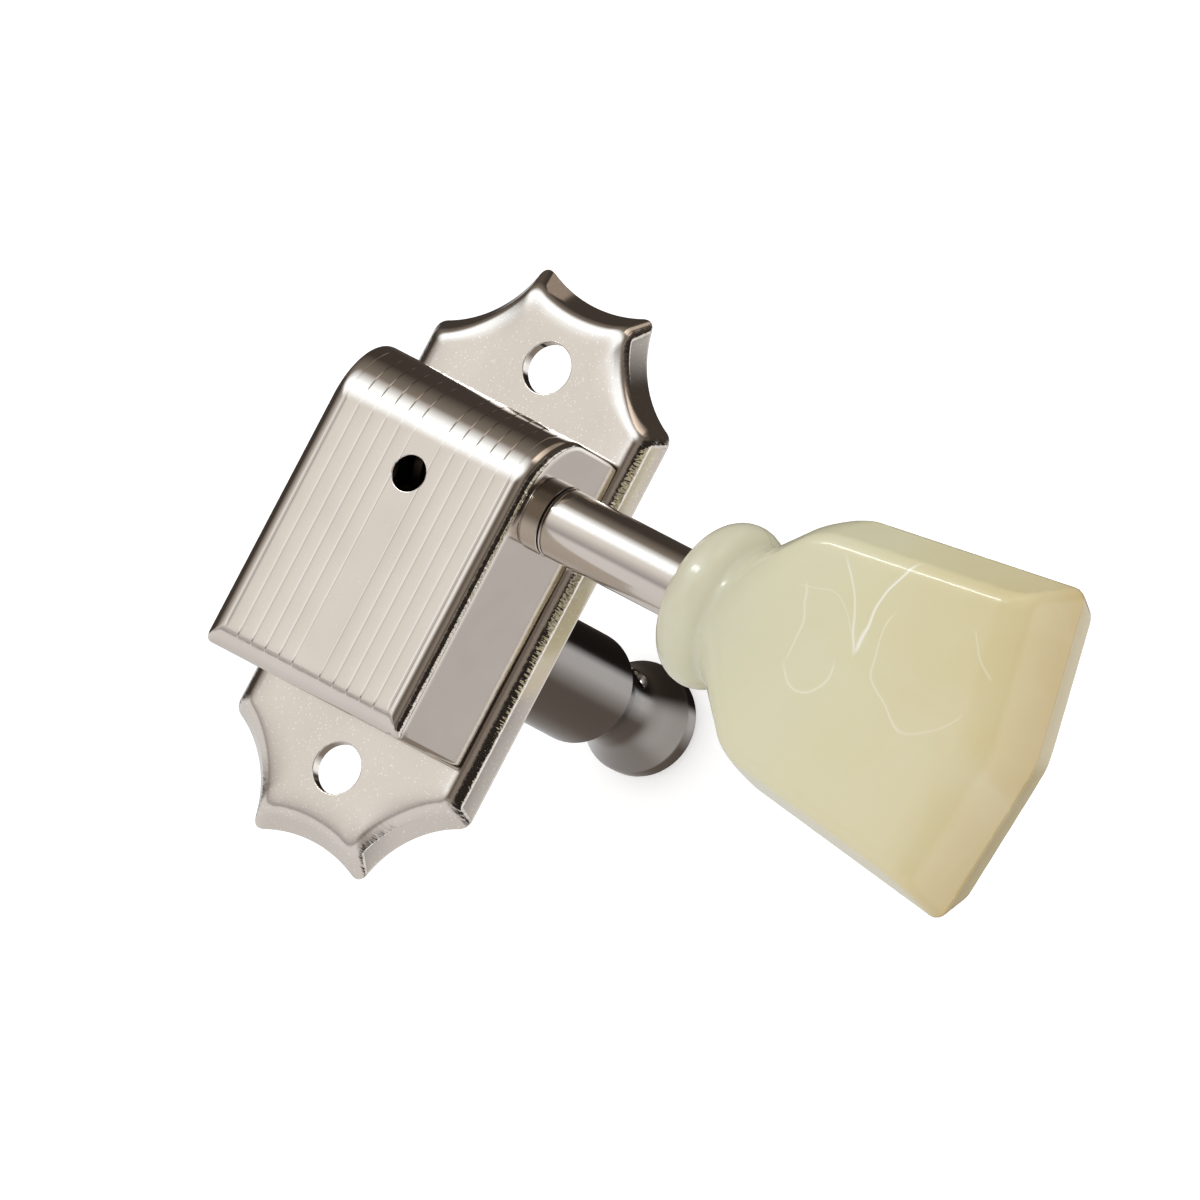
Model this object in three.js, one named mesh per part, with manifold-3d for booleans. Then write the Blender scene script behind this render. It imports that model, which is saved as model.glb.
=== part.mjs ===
// Guitar tuning machine with a scalloped base plate, a folded cover and a keystone button.
// Lengths are millimetres. +Z points away from the headstock, out of the back of the cover.
// The origin lies on the axis of the string post, in the plane where the plate meets the wood.
// +X runs along the worm shaft to the button, and +Y runs from the post to the worm shaft.

import * as THREE from 'three';
import { mergeVertices } from 'three/addons/utils/BufferGeometryUtils.js';
import Module from 'manifold-3d';

const wasm = await Module();
wasm.setup();

// Gear pair: a single-start worm and a fifteen-tooth wheel
const toothCount = 15;
const gearPitchRadius = 4.95;
const wormPitchRadius = 2.55;
const addendum = 0.6;
const dedendum = 0.76;
const backlash = 0.12;
const gearWidth = 3;
const wormLength = 7.4;
const pressureAngle = THREE.MathUtils.degToRad(20);

// Worm shaft
const shaftRadius = 2.08;
const journalRadius = 1.85;
const tailRadius = 1.4;
const shaftChamfer = 0.3;
const shaftShow = 10.6;
const tangLength = 12;
const tangFlat = 1.3;

// Shaft bushes and thrust washers
const bushWall = 0.3;
const bushFlange = 0.4;
const bushFlangeRim = 0.6;
const bushReach = 0.25;
const thrustWasherThickness = 0.4;
const thrustWasherRim = 0.9;
const runningGap = 0.05;
const thrustGap = 0.1;

// Bracket that carries the worm
const bracketSheet = 0.7;
const earRail = 1.1;
const earRise = 0.9;
const wormFloorGap = 0.3;
const rivetRadius = 0.7;
const rivetHeadRim = 0.5;
const rivetHeadHeight = 0.4;
const rivetDome = 0.12;
const rivetSpacing = 5.2;

// Bearing stack under the wheel
const bearingRadius = 2.55;
const bearingWall = 0.7;
const bearingFlangeHeight = 1.2;
const bearingFlangeGap = 0.2;
const stackGap = 0.05;
const springWasherSheet = 0.22;
const springWasherWave = 0.14;
const springWasherWaves = 3;
const stackWasherRim = 1.2;
const glideWasherThickness = 0.4;
const gearHubRadius = 3.5;

// Gear screw and lock washer
const driveHalf = 1.8;
const driveSink = 0.15;
const screwRadius = 1.2;
const screwDepth = 3;
const screwTipRoom = 0.3;
const screwHeadRadius = 2.4;
const screwHeadHeight = 1;
const screwHeadDome = 0.3;
const screwSlotWidth = 0.6;
const screwSlotDepth = 0.55;
const lockWasherThickness = 0.35;
const seatGap = 0.02;

// String post
const shankRadius = 3.3;
const shankLength = 19.5;
const shankEdge = 0.45;
const shoulderGap = 0.1;
const waistRadius = 2.35;
const waistDrop = 3.1;
const headDrop = 7.2;
const headRim = 0.75;
const headDome = 1;
const headDomeRadius = 2.3;
const stringHoleRadius = 0.85;
const stringHoleTurn = THREE.MathUtils.degToRad(-25);

// Base plate
const plateSheet = 0.8;
const plateDepth = 1.6;
const plateMargin = 1.43;
const plateOffset = 2.2;
const rimInset = 1.1;
const rimRound = 0.35;
const rimRoundInset = 0.3;
const screwFromCover = 2.97;
const plateScrewRadius = 1.5;
const cornerSetback = 0.3;
const tipReach = 5.4;
const tipHalfSpacing = 3.95;
const scallopDepth = 1.05;
const cornerRound = 0.5;
const tipRound = 0.95;

// Cover
const coverSheet = 0.6;
const gearRoom = 0.9;
const earRoom = 0.48;
const coverHeadroom = 0.55;
const sideBend = 0.85;
const lowBend = 1.3;
const highBend = 3.9;
const uprightBend = 0.9;
const grooveSpacing = 0.98;
const groovesPerSide = 6;
const grooveWidth = 0.2;
const grooveDepth = 0.12;
const oilHoleRadius = 1.05;
const oilHoleBack = 1.5;
const tabLength = 3;
const tabFoot = 1.6;
const tabReach = 5.2;
const tabPlay = 0.1;

// Button
const ringRadius = 4.95;
const ringTube = 1.68;
const neckRadius = 4.05;
const neckLength = 1.2;
const buttonTurn = THREE.MathUtils.degToRad(7.8);
const buttonShoulderAt = 4.2;
const buttonShoulderHalf = 8.1;
const buttonCornerAt = 19.1;
const buttonCornerHalf = 10.15;
const buttonPeakAt = 20.7;
const buttonHalfThickness = 4.5;
const buttonSideBevel = 1.4;
const buttonEndBevel = 1.45;
const buttonEdgeRound = 0.5;
const buttonShoulderRound = 1.9;
const buttonCornerRound = 1;
const swellStart = 4.15;
const swellLength = 5.4;
const swellRise = 4.15;
const swellArc = THREE.MathUtils.degToRad(45);
const buttonBoreRoom = 0.3;
const tangPlay = 0.05;

// Facets of round shapes, and the overrun of every cut
const roundSides = 32;
const fineSides = 20;
const bendSteps = 5;
const overrun = 1;

// Places worked out from the sizes above
const wormPitch = (2 * Math.PI * gearPitchRadius) / toothCount;
const wormTip = wormPitchRadius + addendum;
const wormRoot = wormPitchRadius - dedendum;
const gearTip = gearPitchRadius + addendum;
const gearRoot = gearPitchRadius - dedendum;
const wormY = gearPitchRadius + wormPitchRadius;
const bracketTop = plateDepth + bracketSheet;
const wormZ = bracketTop + wormFloorGap + wormTip;
const wormEnd = wormLength / 2;
const flangeInner = wormEnd + thrustGap + thrustWasherThickness + thrustGap;
const earInner = flangeInner + bushFlange;
const earOuter = earInner + bracketSheet;
const bushRadius = journalRadius + runningGap + bushWall;
const tailBushRadius = tailRadius + runningGap + bushWall;
const earHalf = bushRadius + runningGap + earRail;
const coverHalfWidth = gearTip + gearRoom + coverSheet;
const coverHalfLength = wormY + earHalf + earRoom + coverSheet - plateOffset;
const bushEnd = coverHalfWidth + bushReach;
const collarAt = coverHalfWidth + shaftShow;
const plateFloor = plateDepth - plateSheet;
const bearingTop = plateDepth + bearingFlangeHeight;
const springWasherZ = bearingTop + stackGap + springWasherWave;
const glideWasherZ = springWasherZ + springWasherSheet + springWasherWave + stackGap;
const hubBottom = glideWasherZ + glideWasherThickness + stackGap;
const gearTop = wormZ + gearWidth / 2;
const spigotRadius = bearingRadius - runningGap;
const bearingFlangeRadius = wormY - earHalf - bearingFlangeGap;
const lockWasherZ = gearTop + seatGap;
const screwHeadZ = lockWasherZ + lockWasherThickness + seatGap;
const screwTop = screwHeadZ + screwHeadHeight;
const coverTop = Math.max(wormZ + wormTip, screwTop) + coverHeadroom + coverSheet;
const shoulderZ = plateFloor - runningGap - shoulderGap;
const ringAt = collarAt + ringTube;
const neckAt = ringAt + ringTube;
const plateHalfWidth = coverHalfWidth + plateMargin;
const screwReach = coverHalfLength + screwFromCover;

// Solid from a three.js geometry: only positions, shared corners merged, faces turned outwards
function solid(geometry) {
  const source = geometry.clone();
  source.deleteAttribute('normal');
  source.deleteAttribute('uv');
  const merged = mergeVertices(source);
  const position = merged.attributes.position;
  const corners = [];
  const a = new THREE.Vector3();
  const b = new THREE.Vector3();
  const c = new THREE.Vector3();
  let volume = 0;
  for (let i = 0; i < merged.index.count; i += 3) {
    const [p, q, r] = [0, 1, 2].map((k) => merged.index.getX(i + k));
    if (p === q || q === r || r === p) continue;
    a.fromBufferAttribute(position, p);
    b.fromBufferAttribute(position, q);
    c.fromBufferAttribute(position, r);
    volume += a.dot(b.cross(c));
    corners.push(p, q, r);
  }
  if (volume < 0) corners.reverse();
  return new wasm.Manifold(new wasm.Mesh({
    numProp: 3,
    vertProperties: new Float32Array(position.array),
    triVerts: new Uint32Array(corners),
  }));
}

// Solid turned about Z from a profile of [radius, height] pairs that starts and ends on the axis
function turned(profile, sides = roundSides) {
  const points = profile.map(([radius, height]) => new THREE.Vector2(radius, height));
  return solid(new THREE.LatheGeometry(points, sides).rotateX(Math.PI / 2));
}

// Round bar along Z between two heights
function bar(radius, low, high, sides = roundSides) {
  return turned([[0, low], [radius, low], [radius, high], [0, high]], sides);
}

// Flat ring along Z between two heights
function ring(outer, inner, low, high, sides = roundSides) {
  return turned([[inner, low], [outer, low], [outer, high], [inner, high], [inner, low]], sides);
}

// Block between two opposite corners
function block(low, high) {
  const size = high.map((value, axis) => value - low[axis]);
  const middle = high.map((value, axis) => (value + low[axis]) / 2);
  return solid(new THREE.BoxGeometry(...size).translate(...middle));
}

// Two values in rising order
function rising(first, second) {
  return first < second ? [first, second] : [second, first];
}

// Solid through a stack of closed rings that all have the same number of corners
function lofted(rings) {
  const count = rings[0].length;
  const positions = rings.flat().flatMap((point) => [point.x, point.y, point.z]);
  const index = [];
  for (let level = 0; level + 1 < rings.length; level += 1) {
    for (let i = 0; i < count; i += 1) {
      const near = level * count + i;
      const next = level * count + ((i + 1) % count);
      index.push(near, next, near + count, next, next + count, near + count);
    }
  }
  const caps = [[rings[0], 0], [rings.at(-1), (rings.length - 1) * count]];
  for (const [corners, start] of caps) {
    const flat = flattened(corners);
    for (const face of THREE.ShapeUtils.triangulateShape(flat, [])) {
      const order = start === 0 ? [2, 1, 0] : [0, 1, 2];
      index.push(...order.map((k) => start + face[k]));
    }
  }
  const geometry = new THREE.BufferGeometry();
  geometry.setAttribute('position', new THREE.Float32BufferAttribute(positions, 3));
  geometry.setIndex(index);
  return solid(geometry);
}

// Corners of a flat ring in two axes of its own plane, so that it can be filled
function flattened(corners) {
  const centre = corners.reduce((sum, p) => sum.add(p), new THREE.Vector3())
    .divideScalar(corners.length);
  const normal = new THREE.Vector3();
  corners.forEach((p, i) => {
    const q = corners[(i + 1) % corners.length];
    normal.add(p.clone().sub(centre).cross(q.clone().sub(centre)));
  });
  normal.normalize();
  const across = corners[0].clone().sub(centre).normalize();
  const up = normal.clone().cross(across);
  return corners.map((p) => {
    const arm = p.clone().sub(centre);
    return new THREE.Vector2(arm.dot(across), arm.dot(up));
  });
}

// Prism of an outline in XY, between two heights
function prism(outline, low, high) {
  return lofted([low, high].map((z) => outline.map(([x, y]) => new THREE.Vector3(x, y, z))));
}

// Arc of points about a centre, both ends included
function arc(centreX, centreY, radius, from, to, steps) {
  return Array.from({ length: steps + 1 }, (unused, i) => {
    const angle = from + ((to - from) * i) / steps;
    return [centreX + radius * Math.cos(angle), centreY + radius * Math.sin(angle)];
  });
}

// Turn of a solid from the Z axis to the X axis, moved to the worm shaft
function onShaft(body) {
  return body.rotate([0, 90, 0]).translate([0, wormY, wormZ]);
}

// Turn of a solid about the worm shaft, to the angle at which the button stands
function atButtonTurn(body) {
  return body.translate([0, -wormY, -wormZ])
    .rotate([THREE.MathUtils.radToDeg(buttonTurn), 0, 0])
    .translate([0, wormY, wormZ]);
}

// Named mesh of a finished solid
const machine = new THREE.Group();
machine.name = 'guitar_tuning_machine';

function piece(name, body, look) {
  const mesh = body.getMesh();
  const geometry = new THREE.BufferGeometry();
  geometry.setAttribute('position', new THREE.BufferAttribute(mesh.vertProperties, mesh.numProp));
  geometry.setIndex(new THREE.BufferAttribute(mesh.triVerts, 1));
  geometry.computeVertexNormals();
  const part = new THREE.Mesh(geometry, new THREE.MeshStandardMaterial(look));
  part.name = name;
  machine.add(part);
}

const nickel = { color: 0xcbc1b6, roughness: 0.28, metalness: 1 };
const steel = { color: 0x9a948f, roughness: 0.3, metalness: 1 };
const brass = { color: 0xb08d4a, roughness: 0.35, metalness: 1 };
const nylon = { color: 0xe8e4d8, roughness: 0.5, metalness: 0 };
const ivory = { color: 0xdad5b4, roughness: 0.25, metalness: 0 };

// Where two circles cross, on the side of the first centre's left hand
function crossing(first, firstRadius, second, secondRadius) {
  const across = second.clone().sub(first);
  const distance = across.length();
  across.divideScalar(distance);
  const along = (distance ** 2 + firstRadius ** 2 - secondRadius ** 2) / (2 * distance);
  const aside = Math.sqrt(firstRadius ** 2 - along ** 2);
  return first.clone().addScaledVector(across, along)
    .add(new THREE.Vector2(-across.y, across.x).multiplyScalar(aside));
}

// Circle that bows a scallop inwards between two sharp corners of the plate
function scallop(from, to) {
  const chord = to.clone().sub(from);
  const half = chord.length() / 2;
  const radius = (half ** 2 + scallopDepth ** 2) / (2 * scallopDepth);
  const outward = new THREE.Vector2(chord.y, -chord.x).normalize();
  const middle = from.clone().add(to).multiplyScalar(1 / 2);
  return { centre: middle.addScaledVector(outward, radius - scallopDepth), radius };
}

// Corners of one end of the plate: the side corner and the tip
const sideCorner = new THREE.Vector2(plateHalfWidth, screwReach - cornerSetback);
const tipCorner = new THREE.Vector2(tipHalfSpacing, screwReach + tipReach);
const tipTwin = new THREE.Vector2(-tipHalfSpacing, screwReach + tipReach);
const diagonalScallop = scallop(sideCorner, tipCorner);
const endScallop = scallop(tipCorner, tipTwin);

// Points that blunt a corner between its two neighbours
function blunted(before, corner, after) {
  const curve = new THREE.QuadraticBezierCurve(before, corner, after);
  return curve.getPoints(bendSteps - 1).slice(1, -1);
}

// A quarter of the plate's outline, drawn in by an inset, from the side to the end's middle
function plateQuarter(inset) {
  const diagonal = { centre: diagonalScallop.centre, radius: diagonalScallop.radius + inset };
  const end = { centre: endScallop.centre, radius: endScallop.radius + inset };
  const halfWidth = plateHalfWidth - inset;
  const rise = Math.sqrt(diagonal.radius ** 2 - (diagonal.centre.x - halfWidth) ** 2);
  const side = new THREE.Vector2(halfWidth, diagonal.centre.y - rise);
  const tip = crossing(diagonal.centre, diagonal.radius, end.centre, end.radius);
  const tipFirst = angleOn(diagonal, tip);
  const sideFirst = angleOn(diagonal, side);
  const endTrim = tipRound / end.radius;
  const onDiagonal = (share) => {
    const first = sideFirst - cornerRound / diagonal.radius;
    const last = tipFirst + tipRound / diagonal.radius;
    return pointOn(diagonal, first + (last - first) * share);
  };
  const onEnd = (share) => {
    const first = angleOn(end, tip) - endTrim;
    return pointOn(end, first + (-Math.PI / 2 - first) * share);
  };
  const steps = Array.from({ length: bendSteps + 1 }, (unused, i) => i / bendSteps);
  const diagonalPoints = steps.map(onDiagonal);
  const endPoints = steps.slice(0, -1).map(onEnd);
  const straight = new THREE.Vector2(side.x, side.y - cornerRound);
  return [
    straight,
    ...blunted(straight, side, diagonalPoints[0]),
    ...diagonalPoints,
    ...blunted(diagonalPoints.at(-1), tip, endPoints[0]),
    ...endPoints,
  ];
}

// Direction of a point from a circle's centre, as an angle that is never positive
function angleOn(circle, point) {
  const angle = Math.atan2(point.y - circle.centre.y, point.x - circle.centre.x);
  return angle > 0 ? angle - 2 * Math.PI : angle;
}

// Point of a circle in a direction
function pointOn(circle, angle) {
  return circle.centre.clone().add(
    new THREE.Vector2(Math.cos(angle), Math.sin(angle)).multiplyScalar(circle.radius),
  );
}

// Whole outline of the plate at one inset, counter-clockwise about its own centre
function plateOutline(inset) {
  const quarter = plateQuarter(inset);
  const endMiddle = endScallop.centre.y - endScallop.radius - inset;
  const right = quarter.map((p) => [p.x, p.y]);
  const left = quarter.map((p) => [-p.x, p.y]).reverse();
  const top = [...right, [0, endMiddle], ...left];
  const bottom = top.map(([x, y]) => [-x, -y]);
  return [...top, ...bottom].map(([x, y]) => [x, y + plateOffset]);
}

// Outline of the plate at one inset and height
function plateRing(inset, z) {
  return plateOutline(inset).map(([x, y]) => new THREE.Vector3(x, y, z));
}

// Base plate: a pressed pan with a slanted rim, screw holes, the bearing hole and tab slots
function basePlate() {
  const slant = (rimInset - rimRoundInset) / (plateDepth - rimRound);
  const wall = plateSheet * Math.hypot(1, slant);
  const outer = lofted([
    plateRing(0, 0),
    plateRing(rimInset - rimRoundInset, plateDepth - rimRound),
    plateRing(rimInset, plateDepth),
  ]);
  const recess = lofted([
    plateRing(wall - slant * overrun, -overrun),
    plateRing(wall + slant * plateFloor, plateFloor),
  ]);
  let plate = outer.subtract(recess);
  for (const side of [-1, 1]) {
    const hole = bar(plateScrewRadius, -overrun, plateDepth + overrun, fineSides);
    plate = plate.subtract(hole.translate([0, plateOffset + side * screwReach, 0]));
    plate = plate.subtract(rivet(runningGap).translate([(side * rivetSpacing) / 2, wormY, 0]));
  }
  plate = plate.subtract(
    bar(bearingRadius + bearingWall + runningGap, -overrun, plateDepth + overrun),
  );
  for (const [x, y] of tabPlaces()) {
    plate = plate.subtract(block(
      [x - coverSheet / 2 - tabPlay, y - tabLength / 2 - tabPlay, -overrun],
      [x + coverSheet / 2 + tabPlay, y + tabLength / 2 + tabPlay, plateDepth + overrun],
    ));
  }
  return plate;
}

// Middles of the four tabs of the cover, where they pass through the plate
function tabPlaces() {
  const x = coverHalfWidth - coverSheet / 2;
  return [-1, 1].flatMap((side) => [-1, 1].map((end) => [side * x, plateOffset + end * tabReach]));
}

// Rivet with a flush head in the bracket and a formed head in the recess of the plate
function rivet(room) {
  const head = rivetRadius + rivetHeadRim + room;
  const cone = bracketTop - rivetHeadRim;
  const low = plateFloor - rivetHeadHeight - room;
  const lift = room > 0 ? overrun : 0;
  return turned([
    [0, low - lift],
    [head - rivetHeadRim / 2, low - lift],
    [head, room > 0 ? low - lift : low + rivetDome],
    [head, plateFloor - (room > 0 ? room : seatGap)],
    [rivetRadius + room, plateFloor],
    [rivetRadius + room, cone - room],
    [head, bracketTop],
    [head, bracketTop + lift],
    [0, bracketTop + lift],
  ], fineSides);
}

// Outlines of the cover seen along X, Y and Z, drawn in by an inset
function coverBlank(inset, floor) {
  const halfWidth = coverHalfWidth - inset;
  const halfLength = coverHalfLength - inset;
  const top = coverTop - inset;
  const low = lowBend - inset;
  const high = highBend - inset;
  const side = sideBend - inset;
  const upright = uprightBend - inset;
  const right = Math.PI / 2;
  const lengthwise = [
    [-halfLength, floor],
    [halfLength, floor],
    ...arc(halfLength - high, top - high, high, 0, right, bendSteps + 1),
    ...arc(low - halfLength, top - low, low, right, 2 * right, bendSteps),
  ];
  const crosswise = [
    [-halfWidth, floor],
    [halfWidth, floor],
    ...arc(halfWidth - side, top - side, side, 0, right, bendSteps),
    ...arc(side - halfWidth, top - side, side, right, 2 * right, bendSteps),
  ];
  const plan = [0, 1, 2, 3].flatMap((corner) => {
    const x = (corner === 0 || corner === 3 ? 1 : -1) * (halfWidth - upright);
    const y = (corner < 2 ? 1 : -1) * (halfLength - upright);
    return arc(x, y, upright, corner * right, (corner + 1) * right, bendSteps - 2);
  });
  const alongX = prism(lengthwise, -halfWidth - overrun, halfWidth + overrun)
    .rotate([90, 0, 90]);
  const alongY = prism(crosswise, -halfLength - overrun, halfLength + overrun)
    .rotate([90, 0, 0]);
  const alongZ = prism(plan, floor - overrun, top + overrun);
  return alongX.intersect(alongY).intersect(alongZ).translate([0, plateOffset, 0]);
}

// Thin plate that cuts one engraved line, over the top and down both end bends
function grooveBlade(x) {
  const slab = block(
    [x - grooveWidth / 2, plateOffset - coverHalfLength - overrun, plateDepth - overrun],
    [x + grooveWidth / 2, plateOffset + coverHalfLength + overrun, coverTop + overrun],
  );
  return slab.subtract(coverBlank(grooveDepth, plateDepth - 2 * overrun));
}

// Cover: folded sheet shell with engraved lines, oil hole, shaft hole and four folded tabs
function gearCover() {
  let cover = coverBlank(0, plateDepth).subtract(coverBlank(coverSheet, plateDepth - overrun));
  for (let line = 1; line <= groovesPerSide; line += 1) {
    for (const side of [-1, 1]) {
      cover = cover.subtract(grooveBlade(side * line * grooveSpacing));
    }
  }
  const oilHole = bar(oilHoleRadius, coverTop - 2 * coverSheet, coverTop + overrun, fineSides);
  cover = cover.subtract(oilHole.translate([0, wormY - oilHoleBack, 0]));
  cover = cover.subtract(onShaft(
    bar(bushRadius + runningGap, earOuter, coverHalfWidth + overrun, fineSides),
  ));
  for (const [x, y] of tabPlaces()) {
    const inward = -Math.sign(x);
    const face = x - (inward * coverSheet) / 2;
    const [legNear, legFar] = rising(face, face + inward * coverSheet);
    const [footNear, footFar] = rising(face, face + inward * tabFoot);
    const [low, high] = [y - tabLength / 2, y + tabLength / 2];
    const bottom = plateFloor - coverSheet;
    cover = cover.add(block([legNear, low, bottom], [legFar, high, plateDepth + coverSheet]));
    cover = cover.add(block([footNear, low, bottom], [footFar, high, plateFloor]));
  }
  return cover;
}

// Bracket: a U of sheet with two open ears that the shaft bushes drop into
function wormBracket() {
  const low = wormY - earHalf;
  const high = wormY + earHalf;
  let bracket = block([-earOuter, low, plateDepth], [earOuter, high, bracketTop]);
  const ears = [[1, bushRadius], [-1, tailBushRadius]];
  for (const [side, radius] of ears) {
    const [near, far] = rising(side * earInner, side * earOuter);
    const slot = radius + runningGap;
    const ear = block([near, low, plateDepth], [far, high, wormZ + earRise]);
    const seat = onShaft(bar(slot, near - overrun, far + overrun, fineSides));
    const mouth = block(
      [near - overrun, wormY - slot, wormZ],
      [far + overrun, wormY + slot, wormZ + earRise + overrun],
    );
    bracket = bracket.add(ear.subtract(seat).subtract(mouth));
    bracket = bracket.subtract(rivet(runningGap).translate([(side * rivetSpacing) / 2, wormY, 0]));
  }
  return bracket;
}

// Thread of the worm: a trapezoid carried along a right-hand helix
function wormThread() {
  const stepsPerTurn = fineSides;
  const overhang = wormPitch / 2;
  const turns = (wormLength + 2 * overhang) / wormPitch;
  const count = Math.ceil(turns * stepsPerTurn);
  const sunk = wormRoot - backlash;
  const halfAt = (radius) => wormPitch / 4 - backlash / 4
    - (radius - wormPitchRadius) * Math.tan(pressureAngle);
  const rings = Array.from({ length: count + 1 }, (unused, i) => {
    const turn = turns * (i / count - 1 / 2);
    const angle = 2 * Math.PI * turn;
    const section = [
      [wormTip, halfAt(wormTip)],
      [wormTip, -halfAt(wormTip)],
      [sunk, -halfAt(sunk)],
      [sunk, halfAt(sunk)],
    ];
    return section.map(([radius, half]) => new THREE.Vector3(
      turn * wormPitch + half,
      -radius * Math.cos(angle),
      -radius * Math.sin(angle),
    ));
  });
  const window = block([-wormEnd, -gearTip, -gearTip], [wormEnd, gearTip, gearTip]);
  return lofted(rings).intersect(window).translate([0, wormY, wormZ]);
}

// Worm shaft: tail journal, worm, bush journal, bare shaft and the flattened end in the button
function wormShaft() {
  const shoulder = bushEnd + thrustGap + shaftChamfer;
  const end = collarAt + tangLength;
  const core = onShaft(turned([
    [0, -earOuter],
    [tailRadius - shaftChamfer, -earOuter],
    [tailRadius, shaftChamfer - earOuter],
    [tailRadius, -wormEnd],
    [wormRoot, -wormEnd],
    [wormRoot, wormEnd],
    [journalRadius, wormEnd],
    [journalRadius, shoulder],
    [shaftRadius - shaftChamfer / 2, shoulder],
    [shaftRadius, shoulder + shaftChamfer],
    [shaftRadius, end - shaftChamfer],
    [shaftRadius - shaftChamfer, end],
    [0, end],
  ], fineSides));
  return core.add(wormThread()).subtract(atButtonTurn(tangCut(0)));
}

// The two slabs that leave the flats of the shaft's end
function tangCut(room) {
  const from = collarAt + ringTube;
  const to = collarAt + tangLength + buttonBoreRoom + overrun;
  const flat = tangFlat + room;
  const slab = (side) => {
    const [low, high] = rising(side * flat, side * (shaftRadius + overrun));
    return block(
      [from, wormY - shaftRadius - overrun, wormZ + low],
      [to, wormY + shaftRadius + overrun, wormZ + high],
    );
  };
  return slab(-1).add(slab(1));
}

// Bush with a flange at its inner end, along the shaft between two places
function shaftBush(outer, inner, flangeAt, end) {
  const side = Math.sign(end);
  const profile = [
    [inner, flangeAt],
    [outer + bushFlangeRim, flangeAt],
    [outer + bushFlangeRim, flangeAt + side * (bushFlange - seatGap)],
    [outer, flangeAt + side * (bushFlange - seatGap)],
    [outer, end],
    [inner, end],
    [inner, flangeAt],
  ];
  return onShaft(turned(profile, fineSides));
}

// Washer between the end of the worm and a bush flange
function thrustWasher(side) {
  const near = wormEnd + thrustGap;
  const [low, high] = rising(side * near, side * (near + thrustWasherThickness));
  const hole = (side > 0 ? journalRadius : tailRadius) + runningGap;
  return onShaft(ring(hole + thrustWasherRim, hole, low, high, fineSides));
}

// Half-angle of a wheel tooth at a radius, from the involute of its base circle
function toothHalfAngle(radius) {
  const base = gearPitchRadius * Math.cos(pressureAngle);
  const involute = (angle) => Math.tan(angle) - angle;
  const here = Math.acos(Math.min(1, base / radius));
  return Math.PI / (2 * toothCount) - backlash / (4 * gearPitchRadius)
    + involute(pressureAngle) - involute(here);
}

// Outline of the wheel, with a tooth gap facing the worm
function gearOutline(turn) {
  const base = gearPitchRadius * Math.cos(pressureAngle);
  const flank = [0, 1 / 3, 2 / 3, 1].map((share) => base + (gearTip - base) * share);
  const points = [];
  for (let tooth = 0; tooth < toothCount; tooth += 1) {
    const middle = turn + Math.PI / 2 + (2 * Math.PI * (tooth + 1 / 2)) / toothCount;
    const side = (sign) => [gearRoot, ...flank].map((radius) => {
      const angle = middle + sign * toothHalfAngle(radius);
      return [radius * Math.cos(angle), radius * Math.sin(angle)];
    });
    points.push(...side(-1), ...side(1).reverse());
  }
  return points;
}

// Wheel: helical teeth, a hub below and a flatted bore
function postGear() {
  const twist = wormPitch / (2 * Math.PI * wormPitchRadius) / gearPitchRadius;
  const levels = [-1 / 2, 0, 1 / 2].map((share) => share * gearWidth);
  const teeth = lofted(levels.map((level) => gearOutline(twist * level)
    .map(([x, y]) => new THREE.Vector3(x, y, wormZ + level))));
  const hub = bar(gearHubRadius, hubBottom, wormZ, fineSides);
  const bore = driveBar(runningGap, hubBottom - overrun, gearTop + overrun);
  return teeth.add(hub).subtract(bore);
}

// Square drive with rounded corners, which the wheel slides onto
function driveBar(room, low, high) {
  const half = driveHalf + room;
  return bar(spigotRadius - runningGap + room, low, high)
    .intersect(block([-half, -half, low - overrun], [half, half, high + overrun]));
}

// String post: bearing spigot and square drive above, shank, waist and head below
function stringPost() {
  const end = -shankLength;
  const waist = end - waistDrop;
  const head = end - headDrop;
  const hollow = (share) => {
    const height = end - shankEdge + (waist - end + shankEdge) * share;
    const bow = Math.sin((Math.PI / 2) * share);
    return [shankRadius - shankEdge - (shankRadius - shankEdge - waistRadius) * bow, height];
  };
  const flare = (share) => {
    const height = waist + (head - waist) * share;
    const bow = 1 - Math.cos((Math.PI / 2) * share);
    return [waistRadius + (shankRadius - waistRadius) * bow, height];
  };
  const dome = (share) => {
    const angle = (Math.PI / 2) * share;
    const flat = headDomeRadius * (1 - share);
    return [
      Math.min(shankRadius, flat + (shankRadius - headDomeRadius) * Math.cos(angle)),
      head - headRim - headDome * Math.sin(angle),
    ];
  };
  const thirdShares = [1 / 3, 2 / 3, 1];
  const flareShares = [0.3, 0.55, 0.75, 0.9, 1];
  const domeShares = [0, 1 / 3, 2 / 3];
  const post = turned([
    [0, hubBottom],
    [spigotRadius, hubBottom],
    [spigotRadius, shoulderZ],
    [shankRadius, shoulderZ],
    [shankRadius, end + shankEdge],
    [shankRadius - shankEdge / 3, end + shankEdge / 3],
    [shankRadius - shankEdge, end],
    ...thirdShares.map(hollow),
    ...flareShares.map(flare),
    ...domeShares.map(dome),
    [0, head - headRim - headDome],
  ]);
  const drive = driveBar(0, hubBottom - overrun, gearTop - driveSink);
  const thread = bar(screwRadius + runningGap, screwHeadZ - screwDepth - screwTipRoom,
    gearTop + overrun, fineSides);
  const stringHole = bar(stringHoleRadius, -shankRadius - overrun, shankRadius + overrun, fineSides)
    .rotate([90, 0, THREE.MathUtils.radToDeg(stringHoleTurn)])
    .translate([0, 0, waist]);
  return post.add(drive).subtract(thread).subtract(stringHole);
}

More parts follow.
